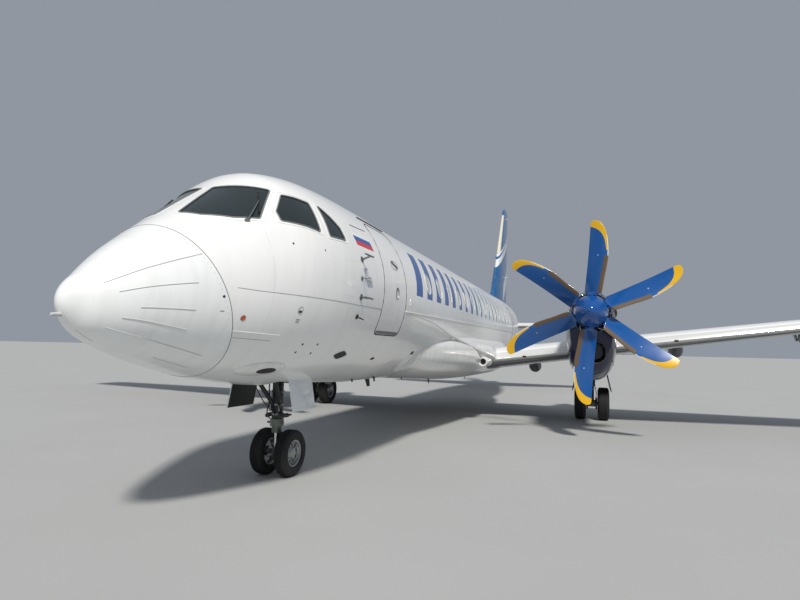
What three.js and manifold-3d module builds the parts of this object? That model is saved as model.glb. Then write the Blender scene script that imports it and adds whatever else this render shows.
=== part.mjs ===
// A six-bladed twin turboprop airliner, parked on its gear, as an assembly of its real pieces.
// Millimetres. +Z is up, the nose points along -Y and +X is the aircraft's left (port) side.
// The origin is on the ground, below the middle of the whole aircraft.
import * as THREE from "three";
import { mergeVertices } from "three/addons/utils/BufferGeometryUtils.js";
import Module from "manifold-3d";

const wasm = await Module();
wasm.setup();

// Driving dimensions
const LENGTH = 26880; // nose tip to the end of the tail cone
const GAP = 0.4; // between pieces that touch
const RUN = 8; // between a moving piece and its neighbours
const END_GAP = 24; // at the ends of a control surface, which shifts along its slanted hinge
const PIN_GAP = 0.5; // round a hinge pin
const NOSE_GEAR_S = 3567; // stations are millimetres aft of the nose tip
const MAIN_GEAR_S = 12697;
const HALF_TRACK = 4200; // engines and main gear
const PROP_S = 8795;
const PROP_Z = 2686;

const station = (s) => s - LENGTH / 2;
const rad = THREE.MathUtils.degToRad;
const mix = THREE.MathUtils.lerp;

// Finishes, with colour, roughness and metalness
const FINISH = {
  white: [0xf2f3f4, 0.25, 0.1],
  composite: [0xeceeef, 0.35, 0],
  blue: [0x0f4fb0, 0.3, 0.1],
  navy: [0x1c2c66, 0.35, 0.1],
  steel: [0x6d6f70, 0.5, 0.9],
  burnt: [0x4a443f, 0.6, 0.8],
  leg: [0x8b9186, 0.5, 0.3],
  wheel: [0xa4a7a8, 0.4, 0.8],
  tyre: [0x1b1b1c, 0.9, 0],
  glass: [0x1c2328, 0.05, 0],
  inside: [0x34383a, 0.8, 0],
};
const materials = Object.fromEntries(
  Object.entries(FINISH).map(([name, [color, roughness, metalness]]) => [
    name,
    new THREE.MeshStandardMaterial({ color, roughness, metalness, name }),
  ]),
);

const plane = new THREE.Group();

// Solids

// A closed three.js geometry as a solid that can be cut and joined.
function solid(geometry) {
  const bare = geometry.clone();
  for (const name of Object.keys(bare.attributes)) {
    if (name !== "position") bare.deleteAttribute(name);
  }
  const merged = mergeVertices(bare, 1e-3);
  const vertProperties = new Float32Array(merged.attributes.position.array);
  const triVerts = new Uint32Array(merged.index.array);
  return new wasm.Manifold(new wasm.Mesh({ numProp: 3, vertProperties, triVerts }));
}

// The mesh of a solid, named and finished, added to the aircraft.
function piece(name, finish, body) {
  const { vertProperties, triVerts } = body.getMesh();
  const geometry = new THREE.BufferGeometry();
  geometry.setAttribute("position", new THREE.BufferAttribute(vertProperties, 3));
  geometry.setIndex(new THREE.BufferAttribute(triVerts, 1));
  geometry.computeVertexNormals();
  const mesh = new THREE.Mesh(geometry, materials[finish]);
  mesh.name = name;
  plane.add(mesh);
}

// A solid through rings of equal point counts, closed by a fan to each end's pole.
function loft(rings, startPole, endPole) {
  const count = rings[0].length;
  const middle = (ring) =>
    ring.reduce((sum, p) => sum.add(p), new THREE.Vector3()).divideScalar(count);
  const points = [...rings.flat(), startPole ?? middle(rings[0]), endPole ?? middle(rings.at(-1))];
  const start = points.length - 2;
  const end = points.length - 1;
  const faces = [];
  for (let i = 0; i < count; i++) {
    const j = (i + 1) % count;
    faces.push([start, j, i]);
    for (let r = 0; r < rings.length - 1; r++) {
      const a = r * count;
      const b = a + count;
      faces.push([a + i, a + j, b + j], [a + i, b + j, b + i]);
    }
    const last = (rings.length - 1) * count;
    faces.push([end, last + i, last + j]);
  }
  const volume = faces.reduce(
    (sum, [a, b, c]) => sum + points[a].dot(points[b].clone().cross(points[c])),
    0,
  );
  if (volume < 0) faces.forEach((face) => face.reverse());
  const geometry = new THREE.BufferGeometry().setFromPoints(points);
  geometry.setIndex(faces.flat());
  return solid(geometry);
}

function box(x0, x1, s0, s1, z0, z1) {
  const geometry = new THREE.BoxGeometry(x1 - x0, s1 - s0, z1 - z0);
  geometry.translate((x0 + x1) / 2, station((s0 + s1) / 2), (z0 + z1) / 2);
  return solid(geometry);
}

// A round bar, or a cone, between two points.
function bar(from, to, radius, sides = 12, endRadius = radius) {
  const along = to.clone().sub(from);
  const geometry = new THREE.CylinderGeometry(endRadius, radius, along.length(), sides);
  geometry.applyQuaternion(
    new THREE.Quaternion().setFromUnitVectors(
      new THREE.Vector3(0, 1, 0),
      along.clone().normalize(),
    ),
  );
  const centre = from.clone().add(to).divideScalar(2);
  geometry.translate(centre.x, centre.y, centre.z);
  return solid(geometry);
}

// A hole for a round bar, whose flats clear the bar's corners as it turns.
function bore(from, to, radius, sides = 16, clearance = PIN_GAP) {
  return bar(from, to, (radius + clearance) / Math.cos(Math.PI / sides), sides);
}

// A round piece turned about an axis along X, from pairs of [distance along X, radius].
// One of its flats faces the ground, so a tyre stands on a flat as a real one does.
function turned(profile, centre, segments) {
  const geometry = new THREE.LatheGeometry(
    profile.map(([x, r]) => new THREE.Vector2(r, x)),
    segments,
    Math.PI / segments,
  );
  geometry.rotateZ(-Math.PI / 2);
  geometry.translate(centre.x, centre.y, centre.z);
  const body = solid(geometry);
  return body.volume() < 0 ? solid(flipped(geometry)) : body;
}

function flipped(geometry) {
  const copy = geometry.clone();
  const index = copy.index.array;
  for (let i = 0; i < index.length; i += 3) [index[i], index[i + 1]] = [index[i + 1], index[i]];
  return copy;
}

const at = (x, s, z) => new THREE.Vector3(x, station(s), z);
const joined = (...bodies) => bodies.reduce((whole, body) => whole.add(body));
const mirrored = (body) => body.mirror([1, 0, 0]);

// The largest of the bodies that a cut leaves, where slivers are dropped.
function main(body) {
  return body.decompose().sort((a, b) => b.volume() - a.volume())[0];
}

// Both sides: the port piece as made, and its mirror image to starboard.
function pair(name, finish, body) {
  piece(name + "_left", finish, body);
  piece(name + "_right", finish, mirrored(body));
}

// Fuselage

// Columns: station, half width, top, bottom.
const FUSELAGE = [
  [0, 0, 2142, 2142],
  [60, 66, 2238, 2041],
  [250, 261, 2430, 1873],
  [600, 506, 2748, 1716],
  [1100, 764, 3118, 1564],
  [1700, 1039, 3553, 1431],
  [2300, 1261, 3957, 1345],
  [2900, 1357, 4060, 1291],
  [3600, 1386, 4092, 1268],
  [4400, 1405, 4095, 1255],
  [5400, 1430, 4073, 1213],
  [17300, 1430, 4073, 1213],
  [18600, 1405, 4070, 1330],
  [20200, 1270, 4050, 1660],
  [21800, 1050, 4010, 2090],
  [23400, 780, 3945, 2540],
  [24900, 500, 3850, 2930],
  [26200, 270, 3740, 3220],
  [26880, 60, 3560, 3440],
];
const NOSE_RINGS = [15, 80, 200, 400, 700, 1050, 1450, 1850, 2300, 2700, 3100];
const DOOR_RINGS = [3100, 3700, 4500, 5400];
const TUBE_END = 17300;
const REAR_RINGS = [17300, 18200, 19200, 20600, 22200, 23800, 25300, 26350, 26860];
const TUBE_SIDES = 28;
const FAIRING_SIDES = 20;

// Slopes of a smooth curve through the rows that never overshoots them.
function slopes(xs, ys) {
  const rise = xs.slice(1).map((x, i) => (ys[i + 1] - ys[i]) / (x - xs[i]));
  return ys.map((_, i) => {
    const before = rise[Math.max(i - 1, 0)];
    const after = rise[Math.min(i, rise.length - 1)];
    return before * after > 0 ? (2 * before * after) / (before + after) : 0;
  });
}

// The fuselage's [half width, top, bottom] at a station. The curve runs over the square root
// of the station, so that the nose tip comes out round.
const roots = FUSELAGE.map(([s]) => Math.sqrt(s));
const columns = [1, 2, 3].map((c) => FUSELAGE.map((row) => row[c]));
const columnSlopes = columns.map((ys) => slopes(roots, ys));
function fuselageAt(s) {
  const x = Math.sqrt(s);
  const i = Math.min(Math.max(roots.findIndex((r) => r >= x) - 1, 0), roots.length - 2);
  const width = roots[i + 1] - roots[i];
  const t = (x - roots[i]) / width;
  return columns.map((ys, c) => {
    const m = columnSlopes[c];
    const hermite = [
      (1 + 2 * t) * (1 - t) ** 2,
      t * (1 - t) ** 2,
      t * t * (3 - 2 * t),
      t * t * (t - 1),
    ];
    return (
      hermite[0] * ys[i] +
      hermite[1] * width * m[i] +
      hermite[2] * ys[i + 1] +
      hermite[3] * width * m[i + 1]
    );
  });
}

// An oval ring across the aircraft; a power over 2 squares its shoulders.
function oval(x, s, halfWidth, top, bottom, sides, power = 2) {
  const half = (top - bottom) / 2;
  return Array.from({ length: sides }, (_, i) => {
    const angle = (2 * Math.PI * i) / sides;
    const shape = (v) => Math.sign(v) * Math.abs(v) ** (2 / power);
    return at(x + halfWidth * shape(Math.sin(angle)), s, (top + bottom) / 2 + half * shape(Math.cos(angle)));
  });
}

// The fuselage's skin between stations, moved inwards by an amount.
function hull(stations, inset = 0) {
  const rings = stations.map((s) => {
    const [halfWidth, top, bottom] = fuselageAt(s);
    return oval(0, s, halfWidth - inset, top - inset, bottom + inset, TUBE_SIDES);
  });
  const tip = stations[0] < 30 ? at(0, 0, FUSELAGE[0][2]) : undefined;
  const tail = stations.at(-1) > LENGTH - 30 ? at(0, LENGTH, 3500) : undefined;
  return loft(rings, tip, tail);
}

// Everything ahead of the radome's seam, a plane that leans forward towards its top.
const SEAM_S = 1260;
const SEAM_Z = 2190;
const SEAM_LEAN = Math.atan(0.43);
function aheadOfSeam(shift) {
  const geometry = new THREE.BoxGeometry(4000, 4000, 6000);
  geometry.translate(0, -2000, 0);
  geometry.rotateX(SEAM_LEAN);
  geometry.translate(0, station(SEAM_S) + shift, SEAM_Z);
  return solid(geometry);
}

// A prism through the skin whose outline is given by points on it, for a window.
function skinPrism(corners, outward, inward, grow) {
  const centre = corners
    .reduce((sum, p) => sum.add(p), new THREE.Vector3())
    .divideScalar(corners.length);
  const normal = new THREE.Vector3();
  corners.forEach((p, i) => normal.add(p.clone().cross(corners[(i + 1) % corners.length])));
  normal.normalize();
  if (normal.x < 0) normal.negate();
  const ring = (depth) =>
    corners.map((p) => {
      const out = p.clone().sub(centre);
      return p.clone().addScaledVector(out.normalize(), grow).addScaledVector(normal, depth);
    });
  return loft([ring(outward), ring(-inward)]);
}

// Port windows, from the corners of their glass: x, station, height.
const WINDOWS = {
  windscreen: [
    [75, 1795, 3625],
    [673, 2064, 3619],
    [792, 1718, 3191],
    [300, 1225, 3150],
    [205, 1265, 3205],
  ],
  side_window: [
    [785, 2116, 3569],
    [965, 2445, 3545],
    [1184, 2389, 3161],
    [935, 1912, 3205],
    [859, 1922, 3319],
  ],
  rear_side_window: [
    [983, 2581, 3566],
    [1197, 2855, 3318],
    [1271, 2902, 3157],
    [1225, 2547, 3146],
  ],
};
const SKIN = 80; // wall of the flight deck
const GLASS_SET = 12; // glass below the skin
const GLASS_THICK = 28;

// The flight deck's hollow, between the front bulkhead, the floor and the rear bulkhead.
const DECK = { front: 1330, rear: 3560, floor: 2300 };
function deckHollow() {
  const inner = hull([1120, 1650, 2300, 3600], SKIN);
  return inner.intersect(box(-1400, 1400, DECK.front, DECK.rear, DECK.floor, 4200));
}

// Nose-gear bay
const BAY = { halfWidth: 400, front: 2860, rear: 3800, top: 1930 };

// A door's outline as a prism through the side: rounded rectangle of station and height.
function doorPrism(s0, s1, z0, z1, corner, x0, x1, grow = 0) {
  const [w, h, r] = [s1 - s0 + 2 * grow, z1 - z0 + 2 * grow, corner + grow];
  const shape = new THREE.Shape();
  shape.absarc(w / 2 - r, h / 2 - r, r, 0, Math.PI / 2);
  shape.absarc(r - w / 2, h / 2 - r, r, Math.PI / 2, Math.PI);
  shape.absarc(r - w / 2, r - h / 2, r, Math.PI, 1.5 * Math.PI);
  shape.absarc(w / 2 - r, r - h / 2, r, 1.5 * Math.PI, 2 * Math.PI);
  const geometry = new THREE.ExtrudeGeometry(shape, {
    depth: x1 - x0,
    bevelEnabled: false,
    curveSegments: 5,
  });
  geometry.rotateY(Math.PI / 2);
  geometry.rotateX(Math.PI / 2);
  geometry.translate(x0, station((s0 + s1) / 2), (z0 + z1) / 2);
  return solid(geometry);
}

const DOOR_THICK = 60;
const DOOR_SEAM = 4;
const DOORS = [
  { name: "passenger_door", s0: 3985, s1: 4880, z0: 2016, z1: 3650 },
  { name: "rear_door", s0: 17350, s1: 18050, z0: 2030, z1: 3480 },
];

// The pocket that a door fills, and the door itself, a plug as curved as the skin.
function doorCut(door, inner) {
  const prism = doorPrism(door.s0, door.s1, door.z0, door.z1, 150, 500, 1600, DOOR_SEAM);
  return prism.subtract(inner);
}
function doorPlug(door, within, inner) {
  const prism = doorPrism(door.s0, door.s1, door.z0, door.z1, 150, 500, 1600);
  return within.intersect(prism).subtract(inner);
}

function fuselage() {
  const nose = hull([...NOSE_RINGS, ...DOOR_RINGS.slice(1)]);
  const rear = hull(REAR_RINGS);
  piece("radome", "composite", nose.intersect(aheadOfSeam(0)));

  let front = nose.subtract(aheadOfSeam(GAP)).subtract(deckHollow());
  const glass = nose.subtract(hull([...NOSE_RINGS, ...DOOR_RINGS.slice(1)], GLASS_THICK + GLASS_SET));
  const outer = nose.subtract(hull([...NOSE_RINGS, ...DOOR_RINGS.slice(1)], GLASS_SET));
  const pane = glass.subtract(outer);
  for (const [name, rows] of Object.entries(WINDOWS)) {
    const corners = rows.map((row) => at(...row));
    const cut = skinPrism(corners, 150, 170, GAP);
    front = front.subtract(cut).subtract(mirrored(cut));
    pair(name, "glass", main(pane.intersect(skinPrism(corners, 150, 170, 0))));
  }
  front = front.subtract(
    box(-BAY.halfWidth, BAY.halfWidth, BAY.front, BAY.rear, 1000, BAY.top),
  );

  const backs = [hull(DOOR_RINGS, DOOR_THICK + GAP), hull(REAR_RINGS.slice(0, -2), DOOR_THICK + GAP)];
  const plugs = [hull(DOOR_RINGS, DOOR_THICK), hull(REAR_RINGS.slice(0, -2), DOOR_THICK)];
  front = front.subtract(doorCut(DOORS[0], backs[0]));
  const aft = rear.subtract(doorCut(DOORS[1], backs[1]));
  piece(DOORS[0].name, "white", main(doorPlug(DOORS[0], nose, plugs[0])));
  piece(DOORS[1].name, "white", main(doorPlug(DOORS[1], rear, plugs[1])));

  const pad = bar(at(0, 5050, 1190), at(0, 5050, 1280), 45);
  piece("fuselage_nose", "white", main(front).add(pad));
  piece("fuselage_centre", "white", hull([DOOR_RINGS.at(-1) + GAP, TUBE_END - GAP]));
  piece("fuselage_rear", "white", aft);
}

// Flight deck: floor, panel with its glare shield, pedestal and two seats, in one fitted unit.
function flightDeck() {
  const floor = box(-700, 700, 1900, 3400, DECK.floor + GAP, DECK.floor + 40);
  const panel = box(-530, 530, 1560, 1700, DECK.floor + 20, 3020);
  const shield = box(-530, 530, 1400, 1760, 3000, 3040);
  const base = box(-300, 300, 1650, 1950, DECK.floor + GAP, 2500);
  const pedestal = box(-110, 110, 1690, 2500, DECK.floor + 20, 2760);
  let unit = joined(floor, base, panel, shield, pedestal);
  for (const side of [-1, 1]) {
    const x = side * 430;
    unit = unit
      .add(box(x - 60, x + 60, 2450, 2600, DECK.floor + 20, 2620))
      .add(box(x - 230, x + 230, 2300, 2780, 2600, 2720))
      .add(box(x - 220, x + 220, 2700, 2820, 2700, 3340))
      .add(box(x - 130, x + 130, 2715, 2805, 3320, 3540));
  }
  piece("flight_deck", "inside", unit);
}

// The cabin section a little larger, to cut what lies against it.
const tube = hull([5400, TUBE_END, 18500], -GAP);

// The fairing that wraps the lower fuselage round the wing's root.
// Columns: station, half width, top, bottom.
const FAIRING = [
  [6400, 1150, 2200, 1330],
  [7600, 1330, 2300, 1190],
  [8900, 1480, 2330, 1110],
  [10300, 1600, 2330, 1050],
  [12000, 1640, 2300, 1030],
  [14300, 1640, 2300, 1030],
  [15400, 1540, 2300, 1080],
  [16400, 1330, 2250, 1200],
  [17200, 1050, 2100, 1330],
];

// Lifting surfaces

// A wing, tailplane or fin is a list of sections. Each has its distance out, the station of its
// leading edge, its chord, its height (or x, on the fin) and its thickness over its chord.
const WING = {
  sections: [
    { out: 1150, lead: 11020, chord: 3600, rise: 1500, thick: 0.165 },
    { out: 14600, lead: 11900, chord: 1560, rise: 3262, thick: 0.125 },
    { out: 14860, lead: 12020, chord: 1330, rise: 3296, thick: 0.1 },
    { out: 15000, lead: 12300, chord: 900, rise: 3314, thick: 0.05 },
  ],
};
const TAILPLANE = {
  sections: [
    { out: 200, lead: 22580, chord: 3300, rise: 3010, thick: 0.1 },
    { out: 5380, lead: 24080, chord: 1480, rise: 3150, thick: 0.1 },
    { out: 5550, lead: 24350, chord: 1050, rise: 3155, thick: 0.05 },
  ],
};
const FIN = {
  upright: true,
  sections: [
    { out: 3500, lead: 20400, chord: 4730, rise: 0, thick: 0.1 },
    { out: 9000, lead: 24080, chord: 1480, rise: 0, thick: 0.11 },
    { out: 9190, lead: 24500, chord: 950, rise: 0, thick: 0.05 },
  ],
};
// Chord fractions of an aerofoil's points, from the trailing edge forwards.
const CHORD_POINTS = [0.95, 0.75, 0.55, 0.35, 0.18, 0.07, 0.02];
const CAMBER = 0.58; // share of the thickness above the chord line
const TRAIL = 0.004; // half thickness of the trailing edge over the chord

// Half thickness of a symmetric aerofoil of unit thickness and chord.
function halfThickness(c) {
  return 5 * (0.2969 * Math.sqrt(c) - 0.126 * c - 0.3516 * c ** 2 + 0.2843 * c ** 3 - 0.1036 * c ** 4);
}

// The section at a distance out, between the first two of a surface's sections. Its depth, not
// its share of the chord, runs straight from one to the other.
function sectionAt({ sections: [a, b] }, out) {
  const t = (out - a.out) / (b.out - a.out);
  const part = (key) => mix(a[key], b[key], t);
  const chord = part("chord");
  const thick = mix(a.thick * a.chord, b.thick * b.chord, t) / chord;
  return { out, lead: part("lead"), chord, rise: part("rise"), thick };
}

// A point of a section at a chord fraction, raised by millimetres over its chord line.
function pointOn(surface, section, fraction, raise) {
  const s = section.lead + fraction * section.chord;
  if (surface.upright) return at(section.rise + raise, s, section.out);
  return at(section.out, s, section.rise + raise);
}

function sectionRing(surface, section, grow = 0) {
  const upper = surface.upright ? 0.5 : CAMBER;
  const half = (c) => 2 * (halfThickness(c) * section.thick + TRAIL * c) * section.chord;
  const top = CHORD_POINTS.map((c) => pointOn(surface, section, c, upper * half(c) + grow));
  const nose = pointOn(surface, section, -grow / section.chord, 0);
  const bottom = [...CHORD_POINTS]
    .reverse()
    .map((c) => pointOn(surface, section, c, -(1 - upper) * half(c) - grow));
  const tail = [-1, 1].map((side) =>
    pointOn(surface, section, 1 + grow / section.chord, side * (TRAIL * section.chord + grow)),
  );
  return [...top, nose, ...bottom, ...tail];
}

function surfaceBody(surface, grow = 0) {
  return loft(surface.sections.map((section) => sectionRing(surface, section, grow)));
}

// The straight line along a surface at a chord fraction, between two distances out.
function spanLine(surface, from, to, fraction) {
  const upper = surface.upright ? 0.5 : CAMBER;
  return [from, to].map((out) => {
    const section = sectionAt(surface, out);
    const half = (halfThickness(fraction) * section.thick + TRAIL * fraction) * section.chord;
    return {
      point: pointOn(surface, section, fraction, 2 * half * (upper - 0.5)),
      radius: half,
    };
  });
}

// Everything aft of a chord fraction between two distances out.
function aftBlock(surface, from, to, fraction, shift, grow, growOut = grow) {
  const corner = (out, back, raise) => {
    const section = sectionAt(surface, out);
    const point = pointOn(surface, section, fraction, raise);
    point.y += shift + back;
    return point;
  };
  const ring = (out) => [
    corner(out, 0, -900),
    corner(out, 4000, -900),
    corner(out, 4000, 900),
    corner(out, 0, 900),
  ];
  return loft([ring(from - grow), ring(to + growOut)]);
}

// A surface hinged on its own centre line, with a round nose and a pin at each end: an aileron,
// elevator or rudder. It gives the moving piece and what is cut from the fixed one.
const HINGE_PIN = 14;
const PIN_REACH = 60;
function hingedSurface(surface, from, to, fraction) {
  const [a, b] = spanLine(surface, from, to, fraction);
  const along = b.point.clone().sub(a.point).normalize();
  const past = (end, distance) => end.point.clone().addScaledVector(along, distance);
  const whole = surfaceBody(surface);
  const aft = whole.intersect(aftBlock(surface, from, to, fraction, 0, 0));
  const nose = bar(a.point, b.point, a.radius - 2, 12, b.radius - 2).intersect(
    aftBlock(surface, from, to, fraction, -400, 0),
  );
  const pin = bar(past(a, -PIN_REACH), past(b, PIN_REACH), HINGE_PIN, 10);
  const wide = (radius) => (radius + RUN) / Math.cos(Math.PI / 16);
  const cove = joined(
    bar(past(a, -END_GAP), past(b, END_GAP), wide(a.radius), 16, wide(b.radius)),
    aftBlock(surface, from, to, fraction, 0, END_GAP),
    bore(past(a, -PIN_REACH - 2), past(b, PIN_REACH + 2), HINGE_PIN),
  );
  return { moving: main(aft.add(nose)).add(pin), cove };
}

// A flap swings on pivots below the wing, carried by a streamlined pod at each arm.
const FLAP_LEAD = 0.68;
const FLAP_AXIS = 0.715;
const FLAP_DROP = 190; // pivot line below the wing's lower skin
const FLAP_END = 48; // room at its outboard end, which moves outwards as it droops
const POD = { radius: 185, front: 0.4, hang: 150, nose: 95 };
const ARM = { thick: 18, offset: 118, width: 110 };
const PIVOT_PIN = 22;

function flap(surface, from, to) {
  const whole = surfaceBody(surface);
  return {
    moving: main(whole.intersect(aftBlock(surface, from, to, FLAP_LEAD, RUN * 2, 0))),
    cove: aftBlock(surface, from, to, FLAP_LEAD, 0, END_GAP, FLAP_END),
  };
}

// The pivot line's point at a distance out.
function flapPivot(surface, from, to, out) {
  const [a, b] = spanLine(surface, from, to, FLAP_AXIS);
  for (const end of [a, b]) end.point.z -= end.radius + FLAP_DROP;
  return a.point.clone().lerp(b.point, (out - from) / (to - from));
}

// One pod with its pin, for the wing, and the arm that turns on it, for the flap.
function flapPivotParts(surface, from, to, out) {
  const axis = flapPivot(surface, from, to, out);
  const direction = flapPivot(surface, from, to, to).sub(flapPivot(surface, from, to, from)).normalize();
  const section = sectionAt(surface, out);
  const podRing = (s, radius, z) => oval(out, s, radius * 0.8, z + radius, z - radius, 8);
  const axisS = axis.y + LENGTH / 2;
  const frontS = section.lead + POD.front * section.chord;
  const under = axis.z + 20;
  const pod = loft([
    podRing(frontS, 30, under + 160),
    podRing(mix(frontS, axisS, 0.25), 130, under + 80),
    podRing(mix(frontS, axisS, 0.6), POD.radius, under + 20),
    podRing(axisS - 60, 130, under - 15),
    podRing(axisS + 60, 80, under - 25),
  ]);
  const inboard = (distance) => axis.clone().addScaledVector(direction, -distance);
  const pin = bar(inboard(0), inboard(ARM.offset + ARM.thick + 14), PIVOT_PIN);
  const arm = armPlate(inboard(ARM.offset), inboard(ARM.offset + ARM.thick), section, axisS);
  const hole = bore(inboard(ARM.offset - 5), inboard(ARM.offset + ARM.thick + 5), PIVOT_PIN);
  return { pod: pod.add(pin), arm: arm.subtract(hole) };
}

// A flat arm from the pivot up and back into the flap.
function armPlate(near, far, section, axisS) {
  const outline = (end) => {
    const half = ARM.width / 2;
    const rootS = axisS + 190;
    const topZ = end.z + FLAP_DROP + 60;
    return [
      at(end.x, axisS - half, end.z + 10),
      at(end.x, axisS - half * 0.6, end.z - half * 0.8),
      at(end.x, axisS + half * 0.6, end.z - half * 0.8),
      at(end.x, rootS + 160, topZ - 60),
      at(end.x, rootS + 160, topZ),
      at(end.x, rootS - 60, topZ),
    ];
  };
  return loft([outline(near), outline(far)]);
}

// Where the moving surfaces of the wing and tail begin and end
const SPANS = {
  innerFlap: [1700, 3500],
  outerFlap: [4870, 9600],
  aileron: [9750, 14300],
  elevator: [800, 5250],
  rudder: [4080, 8950],
  spoiler: [5200, 9200],
};
const FLAP_PODS = { innerFlap: [2650], outerFlap: [6350, 9300] };
const AILERON_HINGE = 0.75;
const ELEVATOR_HINGE = 0.66;
const RUDDER_HINGE = 0.66;

// A lift spoiler: a thin panel let into the wing's upper skin ahead of the flap.
const SPOILER = { front: 0.53, rear: 0.655, thick: 22, axisDepth: 9, axisBack: 6, pin: 6 };
function spoiler(whole) {
  const [from, to] = SPANS.spoiler;
  const rim = (out, fraction, depth, shift) => {
    const section = sectionAt(WING, out);
    const half = (halfThickness(fraction) * section.thick + TRAIL * fraction) * section.chord;
    const point = pointOn(WING, section, fraction, 2 * CAMBER * half - depth);
    point.y += shift;
    return point;
  };
  const slab = (depth, grow) => {
    const ring = (out) => [
      rim(out, SPOILER.front, depth, -grow),
      rim(out, SPOILER.rear, depth, grow),
      rim(out, SPOILER.rear, -200, grow),
      rim(out, SPOILER.front, -200, -grow),
    ];
    return loft([ring(from - grow), ring(to + grow)]);
  };
  const ends = [from, to].map((out) => rim(out, SPOILER.front, SPOILER.axisDepth, SPOILER.axisBack));
  const along = ends[1].clone().sub(ends[0]).normalize();
  const past = (end, distance) => end.clone().addScaledVector(along, distance);
  return {
    moving: main(whole.intersect(slab(SPOILER.thick, 0))).add(
      bar(past(ends[0], -30), past(ends[1], 30), SPOILER.pin, 8),
    ),
    pocket: slab(SPOILER.thick + RUN, RUN * 1.5).add(bore(past(ends[0], -32), past(ends[1], 32), SPOILER.pin)),
  };
}

function wings() {
  const whole = surfaceBody(WING);
  let wing = whole;
  for (const key of ["innerFlap", "outerFlap"]) {
    const [from, to] = SPANS[key];
    const { moving, cove } = flap(WING, from, to);
    wing = wing.subtract(cove);
    let body = moving;
    for (const out of FLAP_PODS[key]) {
      const parts = flapPivotParts(WING, from, to, out);
      wing = wing.add(parts.pod);
      body = body.add(parts.arm);
    }
    pair(key === "innerFlap" ? "inner_flap" : "outer_flap", "white", body);
  }
  const aileron = hingedSurface(WING, ...SPANS.aileron, AILERON_HINGE);
  pair("aileron", "white", aileron.moving);
  const lift = spoiler(whole);
  pair("spoiler", "white", lift.moving);
  const pad = bar(at(5000, 12500, 1795), at(5000, 12500, 1900), 50);
  wing = wing.subtract(aileron.cove).subtract(lift.pocket).add(pad);
  pair("wing", "white", main(wing.subtract(tube)));
}

function tail(rear) {
  const body = hull(REAR_RINGS, -GAP);
  const elevator = hingedSurface(TAILPLANE, ...SPANS.elevator, ELEVATOR_HINGE);
  pair("elevator", "white", elevator.moving);
  pair("tailplane", "white", main(surfaceBody(TAILPLANE).subtract(elevator.cove).subtract(body)));
  const rudder = hingedSurface(FIN, ...SPANS.rudder, RUDDER_HINGE);
  piece("rudder", "blue", rudder.moving);
  const dorsal = loft(
    [
      [19000, 3900, 4075, 20],
      [20300, 3900, 4240, 60],
      [21900, 3900, 5100, 150],
    ].map(([s, low, high, half]) => [at(-half, s, low), at(half, s, low), at(8, s, high), at(-8, s, high)]),
  );
  const fin = surfaceBody(FIN).add(dorsal).subtract(rudder.cove).subtract(body);
  piece("fin", "blue", main(fin));
}

// Nacelles
// Columns: station, half width, top, bottom.
const NACELLE = [
  [9120, 440, 3090, 1640],
  [9350, 505, 3150, 1370],
  [9900, 545, 3210, 1210],
  [11000, 570, 3210, 1150],
  [12200, 570, 3060, 1150],
  [13300, 540, 2860, 1250],
  [14300, 400, 2600, 1560],
  [14900, 220, 2440, 1900],
  [15150, 60, 2300, 2160],
];
const NACELLE_SIDES = 20;
const ENGINE = { radius: 370, s0: 9300, s1: 11500, z: 2620 };
const PIPE_END = 0.42; // the exhaust ends just outside the cowl's shoulder
const GEAR_BAY = { halfWidth: 330, front: 12150, rear: 13300, top: 1560 };

function nacelles(wingCut) {
  const shell = loft(
    NACELLE.map(([s, halfWidth, top, bottom]) => oval(HALF_TRACK, s, halfWidth, top, bottom, NACELLE_SIDES, 2.5)),
  );
  const x = HALF_TRACK;
  const engineHole = bar(at(x, 9000, ENGINE.z), at(x, ENGINE.s1 + GAP, ENGINE.z), ENGINE.radius + GAP, 24);
  const bay = box(x - GEAR_BAY.halfWidth, x + GEAR_BAY.halfWidth, GEAR_BAY.front, GEAR_BAY.rear, 900, GEAR_BAY.top);
  const intake = loft([
    oval(x, 9000, 300, 2080, 1600, 16, 2.6),
    oval(x, 9500, 300, 2080, 1560, 16, 2.6),
    oval(x, 9900, 240, 2040, 1660, 16, 2.6),
  ]);
  const pipeHole = bar(at(x + 350, 11550, 2840), at(x + 800, 11950, 2860), 150 + GAP, 16);
  const body = main(shell.subtract(engineHole).subtract(bay).subtract(intake).subtract(wingCut).subtract(pipeHole));
  pair("nacelle", "navy", body);

  const shaftBore = bore(at(x, ENGINE.s0 - 10, PROP_Z), at(x, ENGINE.s0 + 262, PROP_Z), SHAFT, 32);
  const block = bar(at(x, ENGINE.s0, ENGINE.z), at(x, ENGINE.s1, ENGINE.z), ENGINE.radius, 24);
  pair("engine", "steel", block.subtract(shaftBore));

  const alongPipe = (share) => at(x + 352 + 448 * share, 11552 + 398 * share, 2840 + 20 * share);
  const outerPipe = bar(alongPipe(0), alongPipe(PIPE_END), 150, 16);
  const innerPipe = bar(alongPipe(0.11), alongPipe(PIPE_END + 0.2), 130, 16);
  pair("exhaust", "burnt", outerPipe.subtract(innerPipe));
}

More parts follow.
